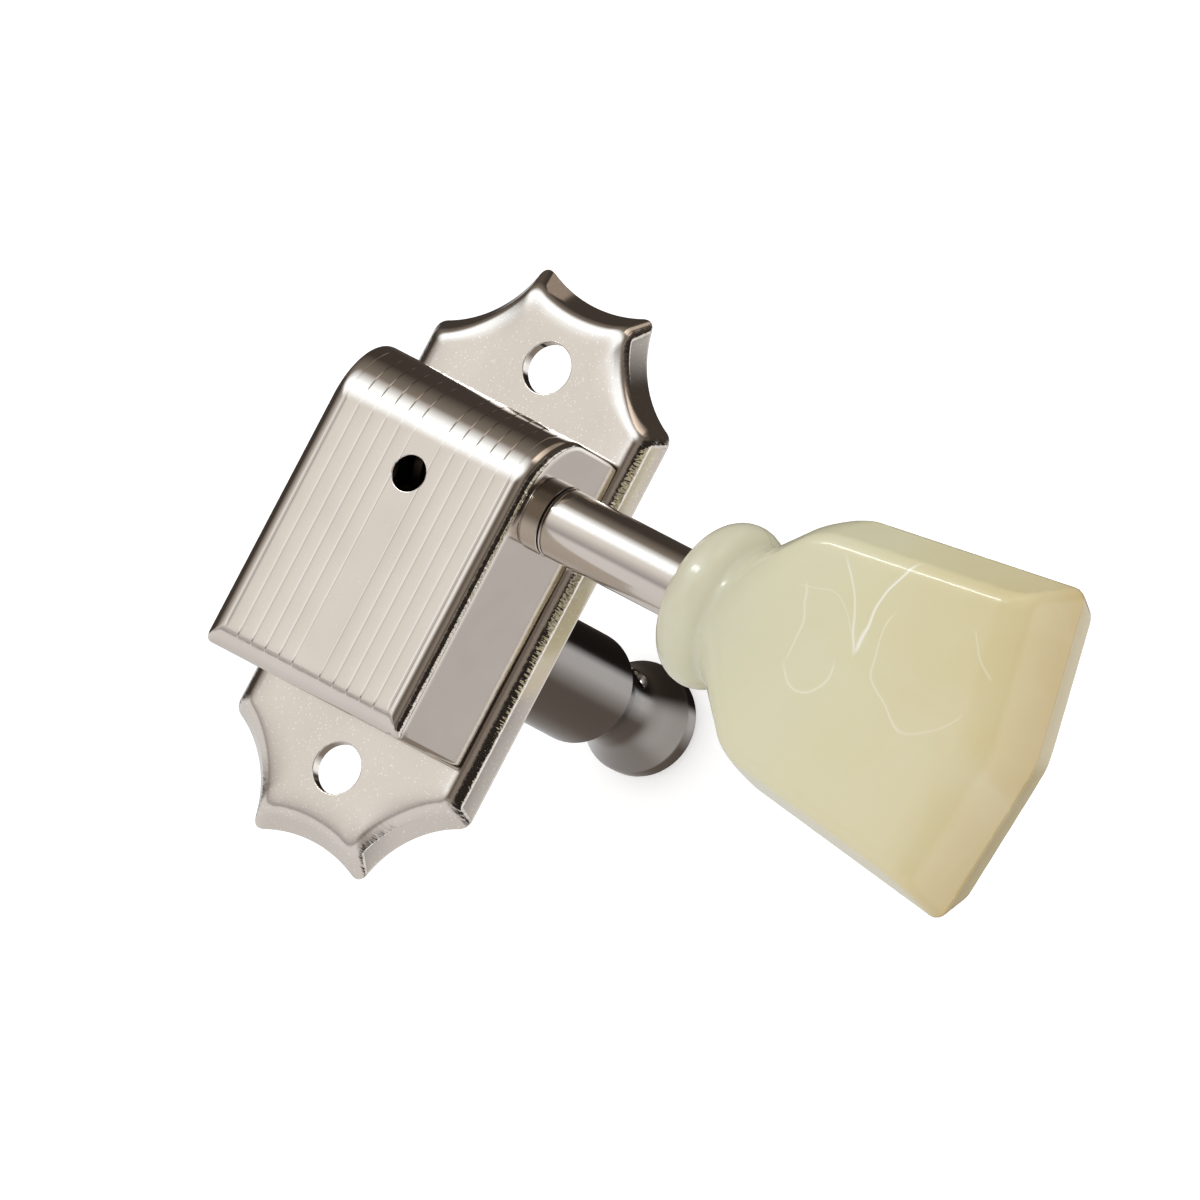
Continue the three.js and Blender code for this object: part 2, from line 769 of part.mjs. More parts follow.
// Bearing for the post: a flanged ring in the plate
function postBearing() {
  const outer = bearingRadius + bearingWall;
  return turned([
    [bearingRadius, plateFloor - runningGap],
    [outer, plateFloor - runningGap],
    [outer, plateDepth + seatGap],
    [bearingFlangeRadius, plateDepth + seatGap],
    [bearingFlangeRadius, bearingTop],
    [bearingRadius, bearingTop],
    [bearingRadius, plateFloor - runningGap],
  ]);
}

// Spring washer: a thin ring bent into waves
function springWasher() {
  const inner = bearingRadius + runningGap;
  const outer = Math.min(inner + stackWasherRim, bearingFlangeRadius);
  const low = springWasherZ;
  const geometry = new THREE.LatheGeometry([
    new THREE.Vector2(inner, low),
    new THREE.Vector2(outer, low),
    new THREE.Vector2(outer, low + springWasherSheet),
    new THREE.Vector2(inner, low + springWasherSheet),
    new THREE.Vector2(inner, low),
  ], roundSides).rotateX(Math.PI / 2);
  const position = geometry.attributes.position;
  for (let i = 0; i < position.count; i += 1) {
    const angle = Math.atan2(position.getY(i), position.getX(i));
    const wave = springWasherWave * Math.cos(springWasherWaves * angle);
    position.setZ(i, position.getZ(i) + wave);
  }
  return solid(geometry);
}

// Gear screw with a domed, slotted head
function gearScrew() {
  const screw = turned([
    [0, screwHeadZ - screwDepth],
    [screwRadius - seatGap, screwHeadZ - screwDepth],
    [screwRadius, screwHeadZ],
    [screwHeadRadius, screwHeadZ],
    [screwHeadRadius, screwTop - screwHeadDome],
    [screwHeadRadius - screwHeadDome, screwTop],
    [0, screwTop],
  ], fineSides);
  const half = screwSlotWidth / 2;
  return screw.subtract(block(
    [-screwHeadRadius - overrun, -half, screwTop - screwSlotDepth],
    [screwHeadRadius + overrun, half, screwTop + overrun],
  ));
}

// Half of the button's outline at one inset from its widest section, from the neck to the peak
function buttonHalfOutline(inset, endInset) {
  const shoulder = new THREE.Vector2(buttonShoulderAt, buttonShoulderHalf);
  const corner = new THREE.Vector2(buttonCornerAt, buttonCornerHalf);
  const slope = corner.clone().sub(shoulder).normalize();
  const drop = inset / slope.x;
  const cornerAt = buttonCornerAt - endInset;
  const cornerHalf = buttonCornerHalf - drop - slope.y / slope.x * endInset;
  const start = new THREE.Vector2(0, neckRadius - inset / 2);
  const side = new THREE.Vector2(buttonShoulderAt, buttonShoulderHalf - drop);
  const far = new THREE.Vector2(cornerAt, cornerHalf);
  const peak = new THREE.Vector2(buttonPeakAt - endInset, 0);
  return [
    start,
    ...softened(start, side, far, buttonShoulderRound),
    ...softened(side, far, peak, buttonCornerRound),
    towards(peak, far, buttonCornerRound),
  ];
}

// Point at a distance from one point on the way to another
function towards(from, to, distance) {
  return from.clone().addScaledVector(to.clone().sub(from).normalize(), distance);
}

// Curve that cuts a corner at a distance on each side of it
function softened(before, corner, after, distance) {
  const curve = new THREE.QuadraticBezierCurve(
    towards(corner, before, distance),
    corner,
    towards(corner, after, distance),
  );
  return curve.getPoints(bendSteps - 1);
}

// Whole outline of the button at one inset and height, about the shaft
function buttonRing(inset, endInset, z) {
  const half = buttonHalfOutline(inset, endInset);
  const outline = [...half, ...half.map((p) => new THREE.Vector2(p.x, -p.y)).reverse()];
  return outline.reverse().map((p) => new THREE.Vector3(p.x, p.y, z));
}

// Button: a round collar and neck that swell into a keystone with bevelled faces
function tuningButton() {
  const levels = [
    [buttonSideBevel + buttonEdgeRound, buttonEndBevel + buttonEdgeRound, buttonHalfThickness],
    [buttonSideBevel, buttonEndBevel, buttonHalfThickness - buttonEdgeRound / 2],
    [0, 0, 0],
  ];
  const mirrored = [
    ...levels.map(([side, end, z]) => buttonRing(side, end, -z)),
    ...levels.slice(0, -1).reverse().map(([side, end, z]) => buttonRing(side, end, z)),
  ];
  const keystone = lofted(mirrored);
  const swell = Array.from({ length: bendSteps + 1 }, (unused, i) => {
    const share = i / bendSteps;
    const rise = swellRise * Math.sin(swellArc * share) / Math.sin(swellArc);
    return [swellStart + rise, swellLength * share];
  });
  const clear = buttonCornerHalf + overrun;
  const cone = turned([
    [0, 0],
    ...swell,
    [clear, swellLength],
    [clear, buttonPeakAt + overrun],
    [0, buttonPeakAt + overrun],
  ]).rotate([0, 90, 0]);
  const body = atButtonTurn(keystone.intersect(cone).translate([neckAt, wormY, wormZ]));
  const bead = arc(ringRadius - ringTube, ringAt, ringTube, -Math.PI / 2, Math.PI / 2,
    2 * bendSteps - 2);
  const collar = onShaft(turned([
    [0, collarAt],
    ...bead,
    [neckRadius, neckAt],
    [neckRadius, neckAt + neckLength],
    [0, neckAt + neckLength],
  ]));
  const boreEnd = collarAt + tangLength + buttonBoreRoom;
  const bore = onShaft(bar(shaftRadius + tangPlay, collarAt - overrun, boreEnd, fineSides))
    .subtract(atButtonTurn(tangCut(tangPlay)));
  return body.add(collar).subtract(bore);
}

// Pieces held by the headstock
piece('base_plate', basePlate(), nickel);
piece('gear_cover', gearCover(), nickel);
piece('worm_bracket', wormBracket(), steel);
piece('bracket_rivet_left', rivet(0).translate([-rivetSpacing / 2, wormY, 0]), steel);
piece('bracket_rivet_right', rivet(0).translate([rivetSpacing / 2, wormY, 0]), steel);
piece('shaft_bush_button_side',
  shaftBush(bushRadius, journalRadius + runningGap, flangeInner, bushEnd), brass);
piece('shaft_bush_tail_side',
  shaftBush(tailBushRadius, tailRadius + runningGap, -flangeInner, -earOuter), brass);
piece('post_bearing', postBearing(), brass);
piece('spring_washer', springWasher(), steel);

// Pieces that turn with the button
piece('worm_shaft', wormShaft(), nickel);
piece('thrust_washer_button_side', thrustWasher(1), brass);
piece('thrust_washer_tail_side', thrustWasher(-1), brass);
piece('tuning_button', tuningButton(), ivory);

// Pieces that turn with the string post
piece('string_post', stringPost(), steel);
piece('post_gear', postGear(), brass);
piece('glide_washer', ring(bearingRadius + stackWasherRim, bearingRadius + runningGap,
  glideWasherZ, glideWasherZ + glideWasherThickness), nylon);
piece('lock_washer', ring(screwHeadRadius, screwRadius + runningGap,
  lockWasherZ, lockWasherZ + lockWasherThickness, fineSides), steel);
piece('gear_screw', gearScrew(), steel);

export default machine;
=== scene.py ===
# %% [markdown]
# # A guitar tuning machine, dressed in Blender
# A tuning machine stretches one string of a guitar. Fingers turn the button, a worm turns a
# wheel under the cover, and the wheel turns the post that the string is wound on. The packed
# solids of the machine are the fixed frame. This file gives them smooth skins, metal and
# plastic finishes, a small studio and a camera. The frame comes first, because every piece
# takes its place from it.

# %% Load the frame
import math

import bmesh
import bpy
import numpy as np
from mathutils import Matrix, Vector


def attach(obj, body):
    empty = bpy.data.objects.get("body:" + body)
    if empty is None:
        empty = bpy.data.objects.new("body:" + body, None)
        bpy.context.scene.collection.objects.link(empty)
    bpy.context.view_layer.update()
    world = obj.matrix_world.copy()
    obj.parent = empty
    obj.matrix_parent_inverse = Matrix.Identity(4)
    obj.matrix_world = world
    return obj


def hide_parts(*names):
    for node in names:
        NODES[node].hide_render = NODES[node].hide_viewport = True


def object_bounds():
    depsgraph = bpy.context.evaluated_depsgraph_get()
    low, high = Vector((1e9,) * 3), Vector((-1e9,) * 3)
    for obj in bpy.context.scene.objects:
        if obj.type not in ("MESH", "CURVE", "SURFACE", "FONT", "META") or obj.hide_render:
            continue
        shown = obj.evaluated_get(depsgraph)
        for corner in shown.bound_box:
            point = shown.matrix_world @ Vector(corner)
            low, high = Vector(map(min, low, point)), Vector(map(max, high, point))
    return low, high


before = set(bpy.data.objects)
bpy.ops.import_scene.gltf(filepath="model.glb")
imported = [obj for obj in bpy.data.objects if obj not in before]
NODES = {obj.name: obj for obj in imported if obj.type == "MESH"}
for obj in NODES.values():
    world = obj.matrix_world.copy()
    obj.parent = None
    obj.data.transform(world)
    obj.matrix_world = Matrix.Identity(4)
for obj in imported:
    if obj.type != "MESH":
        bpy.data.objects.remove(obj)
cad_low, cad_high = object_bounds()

MM = 0.001
print("solids in the frame:", len(NODES))
print("size in mm:", [round((b - a) / MM, 2) for a, b in zip(cad_low, cad_high)])

# %% [markdown]
# ## Reading colours
# Colours are written as they look on a screen, in sRGB hex. A shader works with linear light,
# so one function turns each hex value into the number that the shader needs.

# %% Hex colours to linear light
def linear(hex_colour, alpha=1.0):
    values = [int(hex_colour[i:i + 2], 16) / 255 for i in (1, 3, 5)]
    light = [v / 12.92 if v <= 0.04045 else ((v + 0.055) / 1.055) ** 2.4 for v in values]
    return (*light, alpha)


print("a warm white as linear light:", [round(v, 3) for v in linear("#D9D0C6")[:3]])

# %% [markdown]
# ## The camera
# The photograph is taken from above and from the button's side, with a long lens, so parallel
# edges stay parallel. The view was worked out from the corners of the plate and the cover: the
# picture's right and up directions are written here in the machine's own axes. A lens of about
# one metre at two metres away gives the same flat perspective.

# %% Camera
PLATE_MIDDLE = 2.2
PICTURE_RIGHT = Vector((0.7805, 0.4665, -0.4254)).normalized()
TOWARDS_CAMERA = PICTURE_RIGHT.cross(Vector((-0.4052, 0.8829, 0.2307))).normalized()
PICTURE_UP = TOWARDS_CAMERA.cross(PICTURE_RIGHT)
# how far the middle of the picture lies to the right of the plate's middle, and below it
VIEW_RIGHT, VIEW_DOWN = 8.216, 1.435
VIEW_WIDTH = 67.53
CAMERA_DISTANCE = 1900.0
SENSOR_WIDTH = 36.0


def in_scene(name, data):
    made = bpy.data.objects.new(name, data)
    bpy.context.scene.collection.objects.link(made)
    return made


camera_data = bpy.data.cameras.new("camera")
camera_data.sensor_width = SENSOR_WIDTH
camera_data.lens = SENSOR_WIDTH * CAMERA_DISTANCE / VIEW_WIDTH
camera_data.clip_end = 20.0
camera = in_scene("camera", camera_data)
axes = Matrix((PICTURE_RIGHT, PICTURE_UP, TOWARDS_CAMERA)).transposed().to_4x4()
stand = (Vector((0, PLATE_MIDDLE, 0)) + PICTURE_RIGHT * VIEW_RIGHT - PICTURE_UP * VIEW_DOWN
         + TOWARDS_CAMERA * CAMERA_DISTANCE)
camera.matrix_world = Matrix.Translation(stand * MM) @ axes
bpy.context.scene.camera = camera
print("lens in mm:", round(camera_data.lens, 1))

# %% [markdown]
# ## Adding shader nodes
# Every finish below is a small network of nodes. One function adds a node, sets its options
# and joins its inputs, so that each network reads like a list. A word after a dot is a math
# node's operation or a mix node's type of data. Inputs are given in their order or by name,
# counting only the sockets in use. A node given as an input stands for the first of its outputs
# in use. Stops are the (place, value or linear colour) pairs of a colour ramp.

# %% One function for nodes
def add(tree, kind, inputs=(), stops=(), blend="LINEAR", **settings):
    kind, _, mode = kind.partition(".")
    made = tree.nodes.new("ShaderNode" + kind)
    if mode:
        setattr(made, "data_type" if kind == "Mix" else "operation", mode)
    for name, value in settings.items():
        setattr(made, name, value)
    sockets = [socket for socket in made.inputs if socket.enabled]
    for key, value in inputs.items() if isinstance(inputs, dict) else enumerate(inputs):
        socket = next(s for i, s in enumerate(sockets) if key in (i, s.name))
        if isinstance(value, bpy.types.Node):
            value = next(s for s in value.outputs if s.enabled)
        if isinstance(value, bpy.types.NodeSocket):
            tree.links.new(value, socket)
        else:
            socket.default_value = value
    if stops:
        band = made.color_ramp
        band.interpolation = blend
        while len(band.elements) < len(stops):
            band.elements.new(0.5)
        for element, (place, value) in zip(band.elements, stops):
            element.position = place
            element.color = value if isinstance(value, tuple) else (value, value, value, 1)
    return made


def new_material(name):
    """Material with no nodes yet, and its node tree."""
    material = bpy.data.materials.new(name)
    material.use_nodes = True
    material.node_tree.nodes.clear()
    return material, material.node_tree


def per_mm(size):
    """Texture scale that gives one pattern cell per this many millimetres."""
    return 1.0 / (size * MM)


print("a 0.2 mm grain has the scale", round(per_mm(0.2)))

# %% [markdown]
# ## Nickel plate
# The plate and the cover are pressed sheet steel, plated with bright nickel, a slightly warm
# white metal. Flat sheet is almost a mirror. Where the sheet is bent, it is stretched, and the
# stretch leaves marks a few tenths of a millimetre across, so the dark and light bands there
# have ragged edges. How strong the marks are is looked up from how far the skin leans to a side
# or to the near end, so each piece has them only on its bends. The glints of a few crystals of
# the plating are painted into the colour as faint bright specks. They are drawn at 0.08 mm,
# coarser than the real ones, so that they can be seen.

# %% Nickel
NICKEL = "#D9D0C6"


def nickel_plate(name, grain_height, specks, glint, marks_height, lowest, side_stretch,
                 end_stretch):
    """Each stretch is a list of (how far the normal leans that way, strength of marks) pairs.

    Skin whose normal rises less than the lowest value has no marks. Heights are in mm.
    """
    material, tree = new_material(name)
    coordinates = add(tree, "TexCoord")
    place = coordinates.outputs["Object"]
    across = add(tree, "VectorMath.MULTIPLY", [place, (1.0, 2.6, 1.0)])
    tone, cloud, fine, wave, marks = (
        add(tree, "TexNoise", {"Vector": where, "Scale": per_mm(size), "Detail": detail})
        for where, size, detail in ((place, 5, 3.0), (place, 1.6, 2.0), (place, 0.12, 1.0),
                                    (place, 3.5, 1.0), (across, 0.45, 1.0)))
    # painted glints: a few cells of the plating are made brighter in the colour
    crystals = add(tree, "TexVoronoi", {"Vector": place, "Scale": per_mm(0.08)})
    lucky = add(tree, "SeparateColor", [crystals.outputs["Color"]])
    crowd = add(tree, "Math.MULTIPLY_ADD", [cloud, specks, lucky])
    sparkle = add(tree, "ValToRGB", [crowd], [(0.985, 0.0), (1.0, glint)], "EASE")
    worn = add(tree, "Mix.RGBA", [tone, linear("#D3CABF"), linear("#DFD6CD")])
    lit = add(tree, "Mix.RGBA", [sparkle, worn, linear("#FFFDF8")])

    skin_x, skin_y, skin_z = add(tree, "SeparateXYZ", [coordinates.outputs["Normal"]]).outputs
    to_side = add(tree, "Math.ABSOLUTE", [skin_x])
    to_near = add(tree, "Math.MULTIPLY", [skin_y, -1.0])
    bent = add(tree, "Math.ADD", [add(tree, "ValToRGB", [to_side], side_stretch),
                                  add(tree, "ValToRGB", [to_near], end_stretch)])
    raised = add(tree, "MapRange", {
        "Value": skin_z, "From Min": lowest, "From Max": lowest + 0.03, "To Max": marks_height,
    })
    stretched = add(tree, "Math.MULTIPLY", [add(tree, "Math.MULTIPLY", [marks, bent]), raised])
    under = {}
    for height, depth in ((stretched, 1.0), (fine, grain_height), (wave, 0.018)):
        bump = add(tree, "Bump", {"Distance": depth * MM, "Height": height, **under})
        under = {"Normal": bump}
    rough = add(tree, "MapRange", {"Value": fine, "To Min": 0.07, "To Max": 0.14})
    add(tree, "OutputMaterial", [add(tree, "BsdfPrincipled", {
        "Base Color": lit, "Roughness": rough, "Normal": bump, "Metallic": 1.0,
    })])
    return material


plate_nickel = nickel_plate(
    "bright_nickel_on_the_plate", grain_height=0.0005, specks=0.06, glint=0.36,
    marks_height=0.05, lowest=0.55,
    side_stretch=[(0.5, 0.0), (0.66, 0.6), (0.8, 1.0), (0.84, 0.5), (0.86, 0.0)],
    end_stretch=[(0.05, 0.0), (0.12, 0.08), (0.5, 0.08), (0.8, 0.05), (1.0, 0.0)])
cover_nickel = nickel_plate(
    "bright_nickel_on_the_cover", grain_height=0.00022, specks=0.0, glint=0.12,
    marks_height=0.07, lowest=0.2,
    side_stretch=[(0.6, 0.0), (0.75, 0.6), (0.82, 1.0), (0.92, 0.8), (0.97, 0.0)],
    end_stretch=[(0.05, 0.0), (0.12, 0.12), (0.32, 0.12), (0.5, 0.03), (1.0, 0.0)])
print("finishes:", plate_nickel.name, cover_nickel.name)

# %% [markdown]
# ## Turned and polished steel
# The worm shaft and the post are turned on a lathe, polished and plated. A lathe leaves fine
# rings round the axis. A wave texture made of rings gives a bump that stretches each highlight
# along the shaft. The post is given a darker colour than the shaft: painted shade, for the dark
# that it mirrors under the plate. Under the cover the worm is drawn dark and dull: painted
# shade, for the dark inside the closed cover.

# %% Turned steel
RING_HEIGHT = 0.0005


def turned_steel(name, colour, axis, roughness, shaded_inside=(0, 0)):
    """The last pair gives the X in mm where the painted shade inside the cover starts and is
    full.
    """
    material, tree = new_material(name)
    place = add(tree, "TexCoord").outputs["Object"]
    rings = add(tree, "TexWave", {
        "Vector": place, "Scale": per_mm(0.9), "Distortion": 2.0, "Detail": 2.0,
    }, wave_type="BANDS", bands_direction=axis)
    specks, tone = (
        add(tree, "TexNoise", {"Vector": place, "Scale": per_mm(size), "Detail": detail})
        for size, detail in ((0.25, 4.0), (5, 2.0)))
    light = linear(colour)
    darker = (*(0.88 * v for v in light[:3]), 1)
    skin = add(tree, "Mix.RGBA", [tone, light, darker])
    height = add(tree, "Math.MULTIPLY_ADD", [rings.outputs["Fac"], 0.6, specks])
    bump = add(tree, "Bump", {"Distance": RING_HEIGHT * MM, "Height": height})
    rough = add(tree, "MapRange", {
        "Value": specks, "To Min": roughness - 0.04, "To Max": roughness + 0.05,
    })
    # painted shade: the metal turns dark and dull towards the inside of the closed cover
    if any(shaded_inside):
        along = add(tree, "SeparateXYZ", [place])
        inside_shade = add(tree, "MapRange", {
            "Value": along, "From Min": shaded_inside[0] * MM, "From Max": shaded_inside[1] * MM,
        })
        skin = add(tree, "Mix.RGBA", [inside_shade, skin, linear("#3A322A")])
        rough = add(tree, "Math.MULTIPLY_ADD", [inside_shade, 0.3, rough])
    add(tree, "OutputMaterial", [add(tree, "BsdfPrincipled", {
        "Base Color": skin, "Roughness": rough, "Normal": bump, "Metallic": 1.0,
    })])
    return material


# the last pair places the painted shade on the worm inside the cover
shaft_metal = turned_steel("polished_plated_shaft_steel", NICKEL, "X", 0.12, (5.6, 4.4))
# the post's darker colour is painted shade, for the dark that it mirrors under the plate
post_metal_with_painted_shade = turned_steel("polished_post_steel_with_painted_shade", "#8E8680", "Z", 0.14)
print("finishes:", shaft_metal.name, post_metal_with_painted_shade.name)

# %% [markdown]
# ## Brass, plain steel and nylon
# The bushes, washers and the wheel are turned brass, the bracket and the screw are plain steel,
# and one washer is nylon. They hide under the cover, and they show only through the oil hole or
# from below, so each has a short network: a colour that drifts a little and a fine grain. The
# brass is drawn darker than clean brass, as painted shade for the dark under the cover.

# %% Finishes of the inner pieces
def plain_finish(name, colour, darker, metallic, roughness, grain):
    """The grain is the size in mm of the fine pattern."""
    material, tree = new_material(name)
    place = add(tree, "TexCoord").outputs["Object"]
    drift, fine = (
        add(tree, "TexNoise", {"Vector": place, "Scale": per_mm(size), "Detail": detail})
        for size, detail in ((1.5, 3.0), (grain, 2.0)))
    shade = add(tree, "Mix.RGBA", [drift, linear(colour), linear(darker)])
    bump = add(tree, "Bump", {"Strength": 0.8, "Distance": 0.001 * MM, "Height": fine})
    rough = add(tree, "MapRange", {
        "Value": fine, "To Min": roughness - 0.06, "To Max": roughness + 0.08,
    })
    add(tree, "OutputMaterial", [add(tree, "BsdfPrincipled", {
        "Base Color": shade, "Roughness": rough, "Normal": bump, "Metallic": metallic,
    })])
    return material


# the brass colours are darkened: painted shade for the dark under the cover
turned_brass = plain_finish("turned_brass", "#A5864E", "#5E4A2A", 1.0, 0.34, 0.12)
plain_steel = plain_finish("plain_rolled_steel", "#8A847C", "#5F5A54", 1.0, 0.36, 0.15)
white_nylon = plain_finish("natural_nylon", "#E6E1D2", "#D8D2C0", 0.0, 0.45, 0.2)

INNER_FINISH = {
    turned_brass: ["shaft_bush_tail_side", "post_bearing", "thrust_washer_button_side",
                   "thrust_washer_tail_side", "post_gear"],
    plain_steel: ["worm_bracket", "bracket_rivet_left", "bracket_rivet_right",
                  "spring_washer", "lock_washer", "gear_screw"],
    white_nylon: ["glide_washer"],
}
for material, names in INNER_FINISH.items():
    for name in names:
        NODES[name].data.materials.clear()
        NODES[name].data.materials.append(material)
print("inner pieces with a finish:", sum(len(n) for n in INNER_FINISH.values()))

# %% [markdown]
# ## Making and cutting meshes
# The shapes are worked out in millimetres, as lists of points and faces. Holes and unions are
# made with Boolean modifiers, which are written into the mesh at once. The last step gives
# each edge a crisp or a soft look by its angle, weights the normals by face area so that flat
# sheet stays flat, and turns millimetres into metres.

# %% Mesh helpers
WELD = 1e-4


def welded(mesh):
    """Editable copy of a mesh, with doubled points joined and slivers dissolved."""
    edit = bmesh.new()
    edit.from_mesh(mesh)
    bmesh.ops.remove_doubles(edit, verts=edit.verts, dist=WELD)
    bmesh.ops.dissolve_degenerate(edit, edges=edit.edges, dist=WELD)
    return edit


def raw_object(name, points, faces):
    mesh = bpy.data.meshes.new(name)
    mesh.from_pydata([tuple(map(float, p)) for p in points], [], faces)
    edit = welded(mesh)
    bmesh.ops.recalc_face_normals(edit, faces=edit.faces)
    edit.to_mesh(mesh)
    edit.free()
    return in_scene(name, mesh)


def applied(made):
    """Write what the modifiers do into the mesh."""
    view = bpy.context.evaluated_depsgraph_get()
    before = made.data
    after = bpy.data.meshes.new_from_object(made.evaluated_get(view))
    made.modifiers.clear()
    made.data = after
    bpy.data.meshes.remove(before)


def combined(made, tools, operation="DIFFERENCE"):
    for tool in tools:
        change = made.modifiers.new("combine", "BOOLEAN")
        change.operation = operation
        change.solver = "EXACT"
        change.object = tool
    applied(made)
    for tool in tools:
        bpy.data.meshes.remove(tool.data)


def open_edge_count(mesh):
    edit = bmesh.new()
    edit.from_mesh(mesh)
    count = sum(1 for edge in edit.edges if len(edge.link_faces) != 2)
    edit.free()
    return count


def finished(made, material, sharp_degrees=32.0):
    """Set sharp edges, weight the normals, and go from millimetres to metres."""
    edit = welded(made.data)
    limit = math.radians(sharp_degrees)
    for face in edit.faces:
        face.smooth = True
    for edge in edit.edges:
        edge.smooth = len(edge.link_faces) == 2 and edge.calc_face_angle(math.pi) < limit
    edit.to_mesh(made.data)
    edit.free()
    made.modifiers.new("weigh", "WEIGHTED_NORMAL").keep_sharp = True
    applied(made)
    made.data.transform(Matrix.Scale(MM, 4))
    made.data.materials.clear()
    made.data.materials.append(material)
    print(made.name, "faces:", len(made.data.polygons), "open edges:",
          open_edge_count(made.data))


print("points closer than", WELD, "mm are joined")

# %% Lofted and turned forms
def lofted(name, rings):
    """Closed skin over rings with the same number of points, capped at both ends."""
    count = len(rings[0])
    points = [p for one in rings for p in one]
    faces = []
    for level in range(len(rings) - 1):
        for i in range(count):
            a, b = level * count + i, level * count + (i + 1) % count
            faces.append((a, b, b + count, a + count))
    faces.append(tuple(reversed(range(count))))
    faces.append(tuple(range(len(points) - count, len(points))))
    return raw_object(name, points, faces)


def turned(name, profile, sides=96):
    """Skin of (radius, height) pairs spun about Z; the ends may lie on the axis."""
    points, rows = [], []
    for radius, height in profile:
        if radius < 1e-6:
            rows.append([len(points)] * sides)
            points.append((0, 0, height))
            continue
        rows.append(list(range(len(points), len(points) + sides)))
        for i in range(sides):
            angle = 2 * math.pi * i / sides
            points.append((radius * math.cos(angle), radius * math.sin(angle), height))
    faces = []
    for low, high in zip(rows, rows[1:]):
        for i in range(sides):
            j = (i + 1) % sides
            face = list(dict.fromkeys((low[i], low[j], high[j], high[i])))
            if len(face) > 2:
                faces.append(tuple(face))
    return raw_object(name, points, faces)


def rod(radius, low, high, sides=64):
    return turned("rod", [(0, low), (radius, low), (radius, high), (0, high)], sides)


def block(low, high):
    (x0, y0, z0), (x1, y1, z1) = low, high
    ring = [(x0, y0), (x1, y0), (x1, y1), (x0, y1)]
    return lofted("block", [[(x, y, z) for x, y in ring] for z in (z0, z1)])


def moved(made, matrix):
    made.data.transform(matrix)
    return made


def corner_arc(centre, radius, first, last, steps):
    """Points of an arc between two angles in degrees."""
    turns = [math.radians(first + (last - first) * i / steps) for i in range(steps + 1)]
    return [(centre[0] + radius * math.cos(a), centre[1] + radius * math.sin(a))
            for a in turns]


WORM_Y = 7.5
WORM_Z = 5.75
ON_SHAFT = Matrix.Translation((0, WORM_Y, WORM_Z)) @ Matrix.Rotation(math.pi / 2, 4, "Y")
print("the worm axis is at Y and Z:", (WORM_Y, WORM_Z))

# %% [markdown]
# ## Base plate
# The plate is blanked from 0.8 mm sheet with scalloped ends and pressed into a shallow pan, so
# its rim slants down all round. The bend is tight along the sides and softer at the scallops,
# where the sheet had to stretch. The scallops are true circles, and small curves blunt the
# points where two meet. The skin is lofted through rings of this outline: each ring is drawn
# in by some inset, at some height.

# %% Outline of the plate
PLATE_HALF_WIDTH = 8.48
SCREW_REACH = 12.7
SIDE_CORNER = complex(PLATE_HALF_WIDTH, SCREW_REACH - 0.3)
TIP_CORNER = complex(3.95, SCREW_REACH + 5.4)
SCALLOP_DEPTH = 1.05
SIDE_ROUND = 0.65
TIP_ROUND = 0.95
CORNER_STEPS = 8


def scallop(start, end):
    """Centre and radius of the circle that bows in between two corners."""
    chord = end - start
    half = abs(chord) / 2
    radius = (half ** 2 + SCALLOP_DEPTH ** 2) / (2 * SCALLOP_DEPTH)
    outward = chord * -1j / abs(chord)
    return (start + end) / 2 + outward * (radius - SCALLOP_DEPTH), radius


def crossing(first, first_radius, second, second_radius):
    """Where two circles meet, on the left of the way from the first to the second."""
    across = second - first
    distance = abs(across)
    along = (distance ** 2 + first_radius ** 2 - second_radius ** 2) / (2 * distance)
    aside = math.sqrt(first_radius ** 2 - along ** 2)
    return first + across / distance * complex(along, aside)


def bearing_of(centre, point):
    """Angle of a point round a centre, never positive."""
    angle = math.atan2((point - centre).imag, (point - centre).real)
    return angle - 2 * math.pi if angle > 0 else angle


def blunt_corner(start, corner, end):
    """Points of a curve that leaves out a corner."""
    shares = [i / CORNER_STEPS for i in range(1, CORNER_STEPS)]
    return [(1 - s) ** 2 * start + 2 * s * (1 - s) * corner + s * s * end for s in shares]


def round_circle(centre, radius, first, last, steps):
    """Points of an arc between two angles in radians, as complex numbers."""
    return [centre + radius * complex(math.cos(a), math.sin(a))
            for a in (first + (last - first) * i / steps for i in range(steps + 1))]


def plate_quarter(inset):
    diagonal, diagonal_radius = scallop(SIDE_CORNER, TIP_CORNER)
    end, end_radius = scallop(TIP_CORNER, complex(-TIP_CORNER.real, TIP_CORNER.imag))
    diagonal_radius += inset
    end_radius += inset
    half = PLATE_HALF_WIDTH - inset
    rise = math.sqrt(diagonal_radius ** 2 - (diagonal.real - half) ** 2)
    side = complex(half, diagonal.imag - rise)
    tip = crossing(diagonal, diagonal_radius, end, end_radius)
    slope = round_circle(
        diagonal, diagonal_radius, bearing_of(diagonal, side) - SIDE_ROUND / diagonal_radius,
        bearing_of(diagonal, tip) + TIP_ROUND / diagonal_radius, 22)
    last = round_circle(end, end_radius, bearing_of(end, tip) - TIP_ROUND / end_radius,
                        -math.pi / 2, 14)
    straight = side - 1j * SIDE_ROUND
    return [straight, *blunt_corner(straight, side, slope[0]), *slope,
            *blunt_corner(slope[-1], tip, last[0]), *last]


def plate_ring(inset, height):
    """Points of the whole outline, from those of one quarter."""
    quarter = plate_quarter(inset)
    top = quarter + [complex(-p.real, p.imag) for p in reversed(quarter[:-1])]
    return [(p.real, p.imag + PLATE_MIDDLE, height) for p in top + [-p for p in top]]


print("points round the plate:", len(plate_ring(0, 0)))

# %% Skin of the plate
PLATE_TOP = 1.6
PLATE_FLOOR = 0.8
RIM_SLANT = 0.64
WALL_TILT = math.degrees(math.atan(1 / RIM_SLANT))
